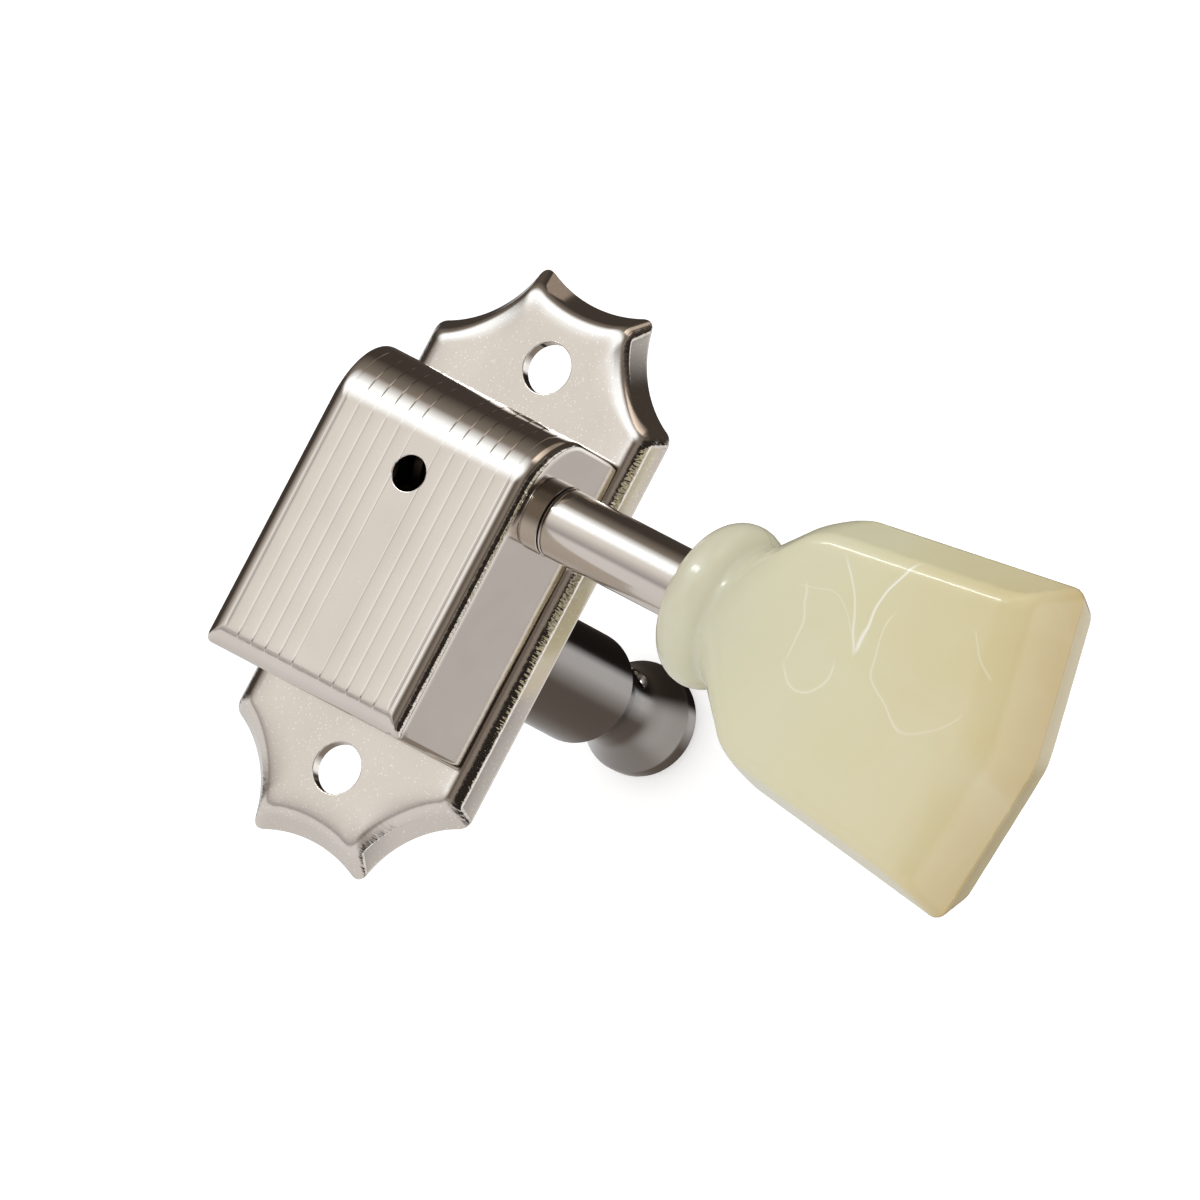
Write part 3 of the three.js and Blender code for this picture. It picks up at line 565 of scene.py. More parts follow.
# distance in mm inwards from the top of the slanted wall, and the tilt there in degrees
SIDE_BEND_TILTS = [(0, WALL_TILT), (0.15, 51), (0.35, 44), (0.5, 36), (0.62, 27), (0.74, 18),
                   (0.86, 10), (1.0, 4.5), (1.2, 2), (1.6, 0.8), (2.1, 0)]
END_BEND_TILTS = [(0, WALL_TILT), (0.12, 49), (0.24, 40), (0.36, 31), (0.48, 23), (0.62, 15),
                  (0.8, 9), (1.05, 5), (1.35, 3), (1.7, 1.5), (2.2, 0)]


def on_wall(height, thickness=0.0):
    return thickness + RIM_SLANT * height, height


def rolled_rim(tilts):
    """Inset and height of each step, with the last one at the top of the plate."""
    rises = [(far - near) * math.tan(math.radians((one + two) / 2))
             for (near, one), (far, two) in zip(tilts, tilts[1:])]
    height = PLATE_TOP - sum(rises)
    inset = RIM_SLANT * height
    rim = [(inset, height)]
    for (distance, _), rise in zip(tilts[1:], rises):
        height += rise
        rim.append((inset + distance, height))
    return rim


def smooth_step(value, low, high):
    """Soft 0 to 1 while a value goes from low to high."""
    share = min(1.0, max(0.0, (value - low) / (high - low)))
    return share * share * (3 - 2 * share)


def blended_ring(side, end):
    """Ring with the tight bend along the sides and the softer one at the ends."""
    ring = []
    for one, two in zip(plate_ring(*side), plate_ring(*end)):
        share = smooth_step(abs(one[1] - PLATE_MIDDLE), SCREW_REACH - 1.6, SCREW_REACH + 0.8)
        ring.append(tuple(a + (b - a) * share for a, b in zip(one, two)))
    return ring


top_bend = [blended_ring(side, end) for side, end in
            zip(reversed(rolled_rim(SIDE_BEND_TILTS)), reversed(rolled_rim(END_BEND_TILTS)))]
foot = [on_wall(0.14), (0.05, 0.06), (0.06, 0.02), (0.14, 0)]
WALL = PLATE_FLOOR * math.hypot(1, RIM_SLANT)
inside = [(WALL - 0.1, 0), (WALL - 0.02, 0.02), on_wall(0.09, WALL), on_wall(0.58, WALL),
          (WALL + 0.46, 0.72), (WALL + 0.56, 0.78), (WALL + 0.7, PLATE_FLOOR)]
plate = lofted("base_plate_skin", top_bend + [plate_ring(*level) for level in foot + inside])


def hole_cutter(radius, lip, low, high):
    """Cutter that leaves a hole with a softly rounded lip on both sides."""
    down = corner_arc((radius + lip, high - lip), lip, 90, 180, 5)
    up = corner_arc((radius + lip, low + lip), lip, 180, 270, 5)
    edge = radius + lip
    profile = [(0, high + 1), (edge, high + 1), *down, *up, (edge, low - 1), (0, low - 1)]
    return turned("cutter", profile, 64)


BEARING_HOLE = 3.3
SCREW_HOLE = 1.5
RIVET_HOLE = 0.75
RIVET_REACH = 2.6
TAB_PLACES = [(sx * 6.75, PLATE_MIDDLE + sy * 5.2) for sx in (-1, 1) for sy in (-1, 1)]
cutters = [hole_cutter(BEARING_HOLE, 0.05, PLATE_FLOOR, PLATE_TOP)]
for side in (-1, 1):
    for radius, lip, x, y in ((SCREW_HOLE, 0.07, 0, PLATE_MIDDLE + side * SCREW_REACH),
                              (RIVET_HOLE, 0.05, side * RIVET_REACH, WORM_Y)):
        cutter = hole_cutter(radius, lip, PLATE_FLOOR, PLATE_TOP)
        cutters.append(moved(cutter, Matrix.Translation((x, y, 0))))
for tab_x, tab_y in TAB_PLACES:
    near, far = sorted(math.copysign(edge, tab_x) for edge in (6.35, 7.03))
    cutters.append(block((near, tab_y - 1.6, 0.3), (far, tab_y + 1.6, 2)))
combined(plate, cutters)
finished(plate, plate_nickel)
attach(plate, "housing")
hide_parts("base_plate")

# %% [markdown]
# ## Gear cover
# The cover is folded from thin sheet over a block: a wide soft bend at the far end, a tighter
# one at the near end, a bend of three curves along each side, and nearly sharp upright corners.
# Twelve fine lines are scored along it. They run over both end bends and fade on the near one.
# The skin is a grid: one lengthwise outline is moved across X, and at each place it is drawn in
# from above and from the ends, so the lines and the side bends need no cutting.

# %% Skin of the cover
COVER_HALF_WIDTH = 7.05
COVER_HALF_LENGTH = 9.73
COVER_TOP = 10.05
COVER_SHEET = 0.6
FAR_BEND = 3.9
NEAR_BEND = 1.3
# the side bend from the wall up: degrees where each curve starts and ends, and its radius
SIDE_CURVES = [(90, 78, 2.2), (78, 58, 0.7), (58, 6, 1.0)]
UPRIGHT_BEND = 0.4
CORNER_NEAR_BEND = 0.45
SIDE_LINES = 6
LINE_SPACING = 0.98
# half width of a scored line, then its depth on the flat top and on the end bends
LINE = (0.055, 0.005, 0.028)
OUTER_LINE = (0.08, 0.018, 0.018)
# how far the top rises from a line to the middle of the strip beside it
PILLOW = 0.004
ROLL_START = 5.98
OIL_HOLE = (0, 6.0)
WALL_HOLE = 2.14


def cover_outline(from_top, from_end, near, foot, depth=0.0, bend_depth=0.0):
    """Lengthwise outline in (y, z), from the near foot over the top to the far foot."""
    half, top = COVER_HALF_LENGTH - from_end, COVER_TOP - from_top
    far_y, far_z = FAR_BEND - from_end, FAR_BEND - from_top
    line = [(-half, foot)]
    for degrees in range(180, 89, -6):
        angle = math.radians(degrees)
        reach = near - bend_depth * 0.5 * smooth_step(180 - degrees, 18, 60)
        line.append((near - half + reach * math.cos(angle), top - near + reach * math.sin(angle)))
    line.append((near - half + 0.3, top - depth))
    for step in range(31):
        angle = math.radians(90 - 3 * step)
        scored = depth + (bend_depth - depth) * smooth_step(3 * step, 4, 22)
        line.append((COVER_HALF_LENGTH - FAR_BEND + (far_y - scored) * math.cos(angle),
                     COVER_TOP - FAR_BEND + (far_z - scored) * math.sin(angle)))
    line.append((half - scored, foot))
    return line


def side_stations():
    """Places on the rolled side: x, and how far the top draws in there."""
    x, height = COVER_HALF_WIDTH, 0.0
    places = [(x, height)]
    for first, last, radius in SIDE_CURVES:
        steps = max(3, round((first - last) / 5))
        for i in range(steps):
            one, two = (math.radians(first + (last - first) * (i + k) / steps) for k in (0, 1))
            x -= radius * (math.sin(one) - math.sin(two))
            height += radius * (math.cos(two) - math.cos(one))
            places.append((x, height))
    roll = math.tan(math.radians(SIDE_CURVES[-1][1]))
    top = height + (x - ROLL_START) * roll / 2
    stations = [(place, top - rise) for place, rise in places]
    for share in (0.66, 0.33):
        reach = share * (x - ROLL_START)
        stations.append((ROLL_START + reach, reach * share * roll / 2))
    return stations


def from_end_at(x):
    """How far the ends draw in at the rounded upright corners."""
    past = max(0.0, abs(x) - (COVER_HALF_WIDTH - UPRIGHT_BEND))
    return UPRIGHT_BEND - math.sqrt(max(0.0, UPRIGHT_BEND ** 2 - past ** 2))


def cover_stations():
    """Places across the cover: x, how far the top draws in, and the two line depths."""
    stations = [(x, drop, 0.0, 0.0) for x, drop in side_stations()]
    for k in range(SIDE_LINES, 0, -1):
        middle = k * LINE_SPACING
        half, on_top, on_bend = OUTER_LINE if k == SIDE_LINES else LINE
        stations += [(middle + step * half, 0.0, share * on_top, share * on_bend)
                     for step, share in ((1, 0), (0.5, 0.5), (0, 1), (-0.5, 0.5), (-1, 0))]
        if k > 1:
            stations += [(middle - share * LINE_SPACING, -height * PILLOW, 0.0, 0.0)
                         for share, height in ((0.2, 0.7), (0.5, 1.0), (0.8, 0.7))]
    return stations + [(-x, *rest) for x, *rest in reversed(stations)]


rings = []
for x, drop, depth, bend_depth in cover_stations():
    near = NEAR_BEND + (CORNER_NEAR_BEND - NEAR_BEND) * smooth_step(abs(x), 6.0, 6.95)
    outline = cover_outline(PILLOW + drop, from_end_at(x), near, PLATE_TOP, depth, bend_depth)
    rings.append([(x, y + PLATE_MIDDLE, z) for y, z in outline])
cover = lofted("gear_cover_skin", rings)

rings = []
for inward, inset in ((0, 0.9), (0.09, 0.69), (0.3, COVER_SHEET)):
    x = COVER_HALF_WIDTH - COVER_SHEET - inward
    outline = cover_outline(inset, inset, NEAR_BEND, PLATE_TOP - 1)
    rings.append([(x, y + PLATE_MIDDLE, z) for y, z in outline])
hollow = lofted("hollow", rings + [[(-x, y, z) for x, y, z in one] for one in reversed(rings)])
oil = hole_cutter(1.05, 0.07, COVER_TOP - COVER_SHEET, COVER_TOP - PILLOW)
moved(oil, Matrix.Translation((*OIL_HOLE, 0)))
wall_hole = moved(rod(WALL_HOLE, 5, 8, 96), ON_SHAFT)
combined(cover, [hollow, oil, wall_hole])

tabs = []
for tab_x, tab_y in TAB_PLACES:
    outwards = math.copysign(1, tab_x)
    face = abs(tab_x) + 0.3
    bend = corner_arc((face - 0.5, 0.7), 0.5, -90, 0, 6)
    shape = [(face - 1.6, 0.8), (face - 1.6, 0.2), *bend, (face, 2.2), (face - 0.6, 2.2),
             (face - 0.6, 0.8)]
    rings = [[(outwards * across, tab_y + reach, up) for across, up in shape]
             for reach in (-1.5, 1.5)]
    tabs.append(lofted("tab", rings))
combined(cover, tabs, "UNION")
finished(cover, cover_nickel, sharp_degrees=26.0)
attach(cover, "housing")
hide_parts("gear_cover")

# %% [markdown]
# ## Worm shaft and its bush
# The shaft is turned from one bar: a thin tail, the worm, a journal that runs in the bush, and
# the polished length that carries the button. Two thin grooves set off a ring beside the bush.
# The worm thread is a trapezoid carried along a right-hand helix. The two flats at the far end
# stop the button from slipping.

# %% Shaft
COLLAR_AT = 17.65
SHAFT_END = COLLAR_AT + 12.0
SHAFT_RADIUS = 2.08
JOURNAL_RADIUS = 1.85
TAIL_RADIUS = 1.4
BUSH_END = 7.62
WORM_HALF = 3.7
WORM_ROOT = 1.79
WORM_TIP = 3.15
WORM_PITCH = 2.0735
EAR_OUTER = 5.4
GROOVE_FLOOR = 1.9
RING_EDGE = 2.04
RING_START = BUSH_END + 0.05
SHOULDER = BUSH_END + 0.26
FLATS_START = 19.33
FLAT_HALF = 1.3
BUTTON_TURN = math.radians(7.8)

shaft = turned("worm_shaft_skin", [
    (0, -EAR_OUTER), (TAIL_RADIUS - 0.3, -EAR_OUTER), (TAIL_RADIUS, 0.3 - EAR_OUTER),
    (TAIL_RADIUS, -WORM_HALF), (WORM_ROOT, -WORM_HALF), (WORM_ROOT, WORM_HALF),
    (JOURNAL_RADIUS, WORM_HALF), (JOURNAL_RADIUS, RING_START), (RING_EDGE, RING_START),
    (SHAFT_RADIUS, RING_START + 0.05), (SHAFT_RADIUS, SHOULDER - 0.12),
    (RING_EDGE, SHOULDER - 0.07), (GROOVE_FLOOR, SHOULDER - 0.06), (GROOVE_FLOOR, SHOULDER),
    (RING_EDGE, SHOULDER), (SHAFT_RADIUS, SHOULDER + 0.08), (SHAFT_RADIUS, SHAFT_END - 0.3),
    (SHAFT_RADIUS - 0.3, SHAFT_END), (0, SHAFT_END),
])
moved(shaft, ON_SHAFT)

# half widths of the thread 0.6 mm above its pitch line and 0.88 mm below it, with flanks that
# lean by 20 degrees
half_at_tip, half_at_root = (WORM_PITCH / 4 - 0.03 - above * math.tan(math.radians(20))
                             for above in (0.6, -0.88))
section = [(WORM_TIP, half_at_tip), (WORM_TIP, -half_at_tip),
           (WORM_ROOT - 0.12, -half_at_root), (WORM_ROOT - 0.12, half_at_root)]
turns = (2 * WORM_HALF + WORM_PITCH) / WORM_PITCH
steps = math.ceil(turns * 40)
rings = []
for i in range(steps + 1):
    turn = turns * (i / steps - 0.5)
    angle = 2 * math.pi * turn
    rings.append([(turn * WORM_PITCH + half, WORM_Y - radius * math.cos(angle),
                   WORM_Z - radius * math.sin(angle)) for radius, half in section])
thread = lofted("thread", rings)
combined(thread, [block((-WORM_HALF, 1, -1), (WORM_HALF, 14, 13))], "INTERSECT")
combined(shaft, [thread], "UNION")

roll = Matrix.Translation((0, WORM_Y, WORM_Z)) @ Matrix.Rotation(BUTTON_TURN, 4, "X")
combined(shaft, [moved(block((FLATS_START, -4, low), (32, 4, high)), roll)
                 for low, high in ((-3, -FLAT_HALF), (FLAT_HALF, 3))])
finished(shaft, shaft_metal, sharp_degrees=25.0)
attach(shaft, "worm_and_button")
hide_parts("worm_shaft")

# %% Bush at the button side
BUSH_BORE = 1.9
BUSH_START = 4.3
FLANGE_RADIUS, FLANGE_END = 2.8, 4.68
BUSH_RADIUS, NOSE_START = 2.24, 6.3
NOSE_RADIUS = 2.15

bush = turned("shaft_bush_skin", [
    (BUSH_BORE, BUSH_START), (FLANGE_RADIUS, BUSH_START), (FLANGE_RADIUS, FLANGE_END),
    (BUSH_RADIUS, FLANGE_END), (BUSH_RADIUS, NOSE_START), (NOSE_RADIUS, NOSE_START),
    (NOSE_RADIUS, BUSH_END - 0.03), (NOSE_RADIUS - 0.03, BUSH_END), (BUSH_BORE, BUSH_END),
    (BUSH_BORE, BUSH_START),
])
moved(bush, ON_SHAFT)
finished(bush, shaft_metal)
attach(bush, "housing")
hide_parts("shaft_bush_button_side")

# %% [markdown]
# ## String post
# The post is turned from bar: a round shank that turns in the headstock, a waist where the
# string winds, and a flared head with a low dome. The string hole is drilled through the waist.
# Inside the cover the post ends in a square, and the wheel sits on it.

# %% Post
SHANK = 3.3
SHANK_END = -19.5
WAIST = -22.6
HEAD = -26.7
WAIST_RADIUS = 2.35
HUB_RADIUS = 2.5
HUB_FOOT, HUB_BOTTOM = 0.65, 3.69
SHANK_ROUND = 0.45
DOME = 1.0
DRIVE_RADIUS, DRIVE_HALF = 2.45, 1.8
# (radius, distance from the post's axis) of the string hole, which opens at both ends
STRING_HOLE = [(0.85, 2.0), (0.88, 2.2), (1.0, 2.4), (1.2, 2.62), (1.2, 4), (0, 4)]
STRING_HOLE_TURN = math.radians(-25)


def bowed(start, end, steps, curve):
    """Profile points between two (radius, height) pairs, shaped by a curve of the share."""
    (first, low), (last, high) = start, end
    shares = [i / steps for i in range(1, steps + 1)]
    return [(first + (last - first) * curve(s), low + (high - low) * s) for s in shares]


post_profile = [
    (0, HUB_BOTTOM), (HUB_RADIUS, HUB_BOTTOM), (HUB_RADIUS, HUB_FOOT), (SHANK, HUB_FOOT),
    *corner_arc((SHANK - SHANK_ROUND, SHANK_END + SHANK_ROUND), SHANK_ROUND, 0, -80, 8),
    *bowed((SHANK - 0.42, SHANK_END - 0.02), (WAIST_RADIUS, WAIST), 12,
           lambda s: math.sin(math.pi / 2 * s)),
    *bowed((WAIST_RADIUS, WAIST), (SHANK, HEAD), 16, lambda s: 1 - math.cos(math.pi / 2 * s)),
    (SHANK, HEAD - 0.6),
    *[(SHANK - DOME + DOME * math.cos(a), HEAD - 0.75 - DOME * math.sin(a))
      for a in map(math.radians, (10, 20, 32, 45, 58, 70, 80, 90))],
    (1.2, HEAD - 1.75), (0, HEAD - 1.75),
]
print("post profile points:", len(post_profile))
post = turned("string_post_skin", post_profile)
drive = rod(DRIVE_RADIUS, 3, 7.1)
combined(drive, [block((-DRIVE_HALF, -DRIVE_HALF, 2), (DRIVE_HALF, DRIVE_HALF, 9))], "INTERSECT")
combined(post, [drive], "UNION")
screw_hole = rod(1.25, 4.33, 9, 48)
string_hole = turned("string_hole", [(r, -s) for r, s in reversed(STRING_HOLE)] + STRING_HOLE, 48)
moved(string_hole, Matrix.Translation((0, 0, WAIST))
      @ Matrix.Rotation(STRING_HOLE_TURN, 4, "Z") @ Matrix.Rotation(math.pi / 2, 4, "X"))
combined(post, [screw_hole, string_hole])
finished(post, post_metal_with_painted_shade, sharp_degrees=30.0)
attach(post, "post_and_gear")
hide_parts("string_post")

# %% [markdown]
# ## Skin of a soft moulded form
# The button is moulded plastic: a keystone with bevelled faces that melts into a round neck and
# a rolled collar. Every edge is soft and every joint flows, which is hard to loft or to bevel.
# So the form is written as a field: a function that is negative inside and positive outside.
# Flat sides and round parts are joined with rounded minimum and maximum functions. A net of
# squares is then laid over the place where the field is zero, each corner is moved onto that
# place, and the slope of the field gives the exact normal there.

# %% Field helpers
def round_max(first, second, radius):
    """Inside both fields, with the edge between them rounded."""
    over_first = np.maximum(first + radius, 0)
    over_second = np.maximum(second + radius, 0)
    return np.minimum(np.maximum(first, second), -radius) + np.hypot(over_first, over_second)


def round_min(first, second, radius):
    """Inside either field, with the valley between them filled."""
    return -round_max(-first, -second, radius)


def slope_of(field, points, reach=1e-3):
    steps = np.eye(3) * reach
    return np.stack([(field(points + s) - field(points - s)) / (2 * reach) for s in steps], -1)


def net_over(field, low, high, step):
    """Corners and squares of a net over the zero surface of a field."""
    axes = [np.arange(a, b + step, step) for a, b in zip(low, high)]
    corner = np.stack(np.meshgrid(*axes, indexing="ij"), -1)
    value = field(corner)
    total = np.zeros(corner.shape)
    count = np.zeros(value.shape)
    squares = []
    for axis in range(3):
        one, two = (axis + 1) % 3, (axis + 2) % 3
        far_value = np.roll(value, -1, axis)
        crosses = (value < 0) != (far_value < 0)
        where = np.argwhere(crosses)
        near, far = value[crosses], far_value[crosses]
        points = corner[crosses].copy()
        points[:, axis] += step * near / (near - far)
        cells = []
        for back_one, back_two in ((0, 0), (1, 0), (1, 1), (0, 1)):
            cell = where.copy()
            cell[:, one] -= back_one
            cell[:, two] -= back_two
            np.add.at(total, tuple(cell.T), points)
            np.add.at(count, tuple(cell.T), 1)
            cells.append(cell)
        square = np.stack(cells, 1)
        square[near > 0] = square[near > 0][:, ::-1]
        squares.append(square)
    used = count > 0
    number = np.cumsum(used).reshape(used.shape) - 1
    points = total[used] / count[used][:, None]
    for _ in range(4):
        slope = slope_of(field, points)
        size = np.maximum((slope ** 2).sum(-1), 0.05)
        points -= slope * (field(points) / size)[:, None]
    faces = np.concatenate(squares)
    faces = number[faces[..., 0], faces[..., 1], faces[..., 2]]
    slope = slope_of(field, points)
    return points, faces, slope / np.linalg.norm(slope, axis=-1, keepdims=True)


print("a rounded corner at the origin:", round(float(round_max(-0.1, -0.1, 1.0)), 3))

# %% [markdown]
# ## Tuning button
# Seen from the front the button is a keystone: it widens away from the shaft, and its far end
# is a low roof. All sides slope back from the widest line halfway through the thickness, where
# the two halves of the mould met. It stands turned by a few degrees about the shaft.

# %% Form of the button
NECK_AT = 21.01
RING_TUBE = 1.68
RING_MIDDLE = 3.27
NECK_RADIUS = 4.05
HALF_THICKNESS = 4.5
EDGE_ROUND = 0.72
END_ROUND = 1.6
SHOULDER_ROUND = 0.75
CONE_SLOPE = 0.905
END_SLOPE = 0.1576


def button_field(point):
    """Field of the button: x along the shaft from the neck, u across, w through it."""
    x, u, w = point[..., 0], point[..., 1], point[..., 2]
    radius = np.hypot(u, w)
    across = np.sqrt(u ** 2 + 0.25)
    through = np.sqrt(w ** 2 + 0.01)
    faces = through - HALF_THICKNESS
    sides = (np.abs(u) - 8.13 - 0.1376 * (x - 4.2) + 0.314 * through) / 1.057
    ends = (x - 20.7 + END_SLOPE * across + 0.3222 * through) / 1.0624
    share = np.clip(x / 4.0, 0, 1)
    oval = np.hypot(u * (1 - 0.045 * share), w * (1 + 0.09 * share))
    cone = (oval - NECK_RADIUS - CONE_SLOPE * x) / 1.35
    keystone = round_max(round_max(ends, faces, END_ROUND),
                         round_max(sides, cone, SHOULDER_ROUND), EDGE_ROUND)
    keystone = np.maximum(keystone, -x - 0.3)
    bead = np.hypot(x + RING_TUBE, np.maximum(radius - RING_MIDDLE, 0)) - RING_TUBE
    neck = np.maximum(radius - NECK_RADIUS, np.maximum(-x - RING_TUBE, x - 3))
    body = round_min(round_min(keystone, neck, 0.6), bead, 0.4)
    wide_bore = np.maximum(radius - 2.13, x + RING_TUBE)
    flat_bore = np.maximum(np.maximum(radius - 2.13, np.abs(w) - 1.35), x - 8.94)
    return round_max(body, -np.minimum(wide_bore, flat_bore), 0.12)


points, faces, normals = net_over(button_field, (-4.1, -10.9, -5.6), (21.4, 10.9, 5.6), 0.3)
print("net corners and squares:", len(points), len(faces))

cosine, sine = math.cos(BUTTON_TURN), math.sin(BUTTON_TURN)
roll = np.array([[1, 0, 0], [0, cosine, -sine], [0, sine, cosine]])
placed = points @ roll.T + np.array([NECK_AT, WORM_Y, WORM_Z])
button_mesh = bpy.data.meshes.new("tuning_button_skin")
button_mesh.from_pydata((placed * MM).tolist(), [], faces.tolist())
button_mesh.polygons.foreach_set("use_smooth", [True] * len(faces))
button_mesh.normals_split_custom_set_from_vertices((normals @ roll.T).tolist())
button = in_scene("tuning_button_skin", button_mesh)
print("open edges of the button:", open_edge_count(button_mesh))

# %% [markdown]
# ## Ivory plastic
# The button is moulded from a pearly ivory plastic: a warm pale yellow, a little see-through,
# so that light spreads inside it. Its colour is paler and greener at the collar, warmer along
# the face, and darker on the roof of the far end. A few fine white veins from the mixing of the
# melt cross the broad face. Each vein is an arc through three places on the face, bent a little
# by a slow noise. A faint brown line marks where the two halves of the mould met.

# %% Ivory plastic
FAR_END = 41.7
# the tone of the plastic, by its share of the way from the collar to the far end
TONES = [(0.0, "#D3CFB8"), (0.16, "#D5D2B8"), (0.3, "#DAD6B6"), (0.55, "#DDD6B0"),
         (0.8, "#DBD0A6"), (0.94, "#D8CA9C"), (0.975, "#CFBD90"), (1.0, "#C8B383")]
# three places (along, across) in mm on the broad face, then the vein's strength and half width
VEINS = [
    ((30.6, 1.7), (31.0, 4.8), (32.2, 7.9), 0.95, 0.14),
    ((30.6, 1.7), (29.5, 4.1), (27.6, 6.3), 0.7, 0.11),
    ((30.3, 2.6), (28.2, 3.9), (25.4, 3.7), 0.3, 0.08),
    ((26.8, -0.7), (28.9, -1.4), (29.6, 1.0), 0.45, 0.12),
    ((26.0, 4.1), (26.9, 2.0), (26.8, -0.7), 0.4, 0.1),
    ((32.4, 5.0), (32.3, 0.8), (35.0, -0.9), 0.4, 0.1),
    ((35.0, -0.9), (37.0, -0.4), (38.3, 2.0), 0.22, 0.1),
    ((37.0, 5.8), (38.0, 4.6), (39.2, 3.6), 0.3, 0.1),
]
VEIN_WANDER = 1.1
PARTING_HALF = 0.05

ivory, tree = new_material("glossy_pearl_ivory_plastic")
place = add(tree, "TexCoord").outputs["Object"]
from_shaft = add(tree, "VectorMath.SUBTRACT", [place, (0, WORM_Y * MM, WORM_Z * MM)])
own = add(tree, "Mapping", {
    "Vector": from_shaft, "Rotation": (-BUTTON_TURN, 0, 0), "Scale": (1 / MM,) * 3,
}, vector_type="POINT")
along, across, through = add(tree, "SeparateXYZ", [own]).outputs
either_side = add(tree, "Math.ABSOLUTE", [across])
to_end = add(tree, "Math.MULTIPLY_ADD", [either_side, END_SLOPE, along])
share = add(tree, "MapRange", {"Value": to_end, "From Min": COLLAR_AT, "From Max": FAR_END})
tone = add(tree, "ValToRGB", [share], [(at, linear(shown)) for at, shown in TONES])
cloud = add(tree, "TexNoise", {
    "Vector": place, "Scale": per_mm(8), "Detail": 3.0, "Distortion": 0.8,
})
milky = add(tree, "ValToRGB", [cloud], [(0.35, 0.0), (0.75, 0.3)], "EASE")
clouded = add(tree, "Mix.RGBA", [milky, tone, linear("#E3DFC6")])

wander = add(tree, "TexNoise", {"Vector": own, "Scale": 0.4, "Detail": 0.5})
centred = add(tree, "VectorMath.SUBTRACT", [wander.outputs["Color"], (0.5, 0.5, 0.5)])
bent_place = add(tree, "VectorMath.MULTIPLY_ADD", [centred, (VEIN_WANDER,) * 3, own])
flat_place = add(tree, "VectorMath.MULTIPLY", [bent_place, (1, 1, 0)])
print("stops of the tone:", len(TONES))

# %% Veins and parting line
def circle_through(first, middle, last):
    """Centre and radius of the circle through three places."""
    a, b, c = (complex(*p) for p in (first, middle, last))
    turn = (c - a) / (b - a)
    centre = a + (b - a) * (turn - abs(turn) ** 2) / (turn - turn.conjugate())
    return centre, abs(a - centre)


def vein(first, middle, last, strength, half_width):
    """Full strength on the arc, fading over its half width and towards both its ends."""
    centre, radius = circle_through(first, middle, last)
    reach = max(abs(complex(*end) - complex(*middle)) for end in (first, last))
    from_centre, from_middle = (
        add(tree, "VectorMath.DISTANCE", [flat_place, (*place, 0)])
        for place in ((centre.real, centre.imag), middle))
    off = add(tree, "Math.ABSOLUTE", [add(tree, "Math.SUBTRACT", [from_centre, radius])])
    line, fade = (
        add(tree, "MapRange", {
            "Value": value, "From Min": outer, "From Max": outer * core, "To Max": most,
        }, interpolation_type="SMOOTHSTEP")
        for value, outer, core, most in ((off, half_width, 0.2, strength),
                                         (from_middle, reach, 0.7, 1.0)))
    return add(tree, "Math.MULTIPLY", [line, fade])


veins = 0.0
for arc in VEINS:
    veins = add(tree, "Math.MAXIMUM", [veins, vein(*arc)])
veined = add(tree, "Mix.RGBA", [veins, clouded, linear("#F3F0E2")])
parting = add(tree, "MapRange", {
    "Value": add(tree, "Math.ABSOLUTE", [through]), "From Min": PARTING_HALF,
    "From Max": PARTING_HALF * 0.4, "To Max": 0.5,
})
colour = add(tree, "Mix.RGBA", [parting, veined, linear("#A8946A")])
ripple = add(tree, "TexNoise", {"Vector": place, "Scale": per_mm(4), "Detail": 1.0})
bump = add(tree, "Bump", {"Strength": 0.5, "Distance": 0.02 * MM, "Height": ripple})
add(tree, "OutputMaterial", [add(tree, "BsdfPrincipled", {
    "Base Color": colour, "Normal": bump, "Roughness": 0.13, "IOR": 1.5,
    "Subsurface Weight": 0.2, "Subsurface Radius": (1.0, 0.8, 0.5),
    "Subsurface Scale": 1.2 * MM,
})])
button.data.materials.append(ivory)
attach(button, "worm_and_button")
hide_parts("tuning_button")
print("finish:", ivory.name, "with", len(VEINS), "veins")

# %% [markdown]
# ## The studio
# Bright metal has hardly any colour of its own: it shows what stands round it. So the room is
# made of ten plain colours, set out by what a piece of nickel shows when it leans to one side.
# A level piece shows a pale ceiling. Leaning away, to the far side, it shows a bright soft box
# and then the dark of the room. Leaning to the button's side it shows a thin white card, brown
# wood, a black cloth and then a pale wall. Upright metal shows the horizon, all round, and metal
# that leans below shows the dimmer floor. A bulb glints in the button, and a small side lamp in
# the scored lines. The node tree turns each direction into the lean of the mirror that would
# show it, and looks that up.
#
# What the camera sees behind the machine is plain white. Matt surfaces are lit by an even pale
# sky, at a level where a colour renders as it is written.

# %% What nickel shows
CEILING = "#D9D0C5"
SOFT_BOX = "#FFFDF8"
WHITE_CARD = "#EEE8E0"
PALE_WALL = "#CCC4BC"
GREY_WALL = "#B0A8A0"
SHADED_WALL = "#98908A"
WOOD = "#7C7064"
BROWN_ROOM = "#5A4E45"
DARK_ROOM = "#3C342D"
BLACK_CLOTH = "#221C18"

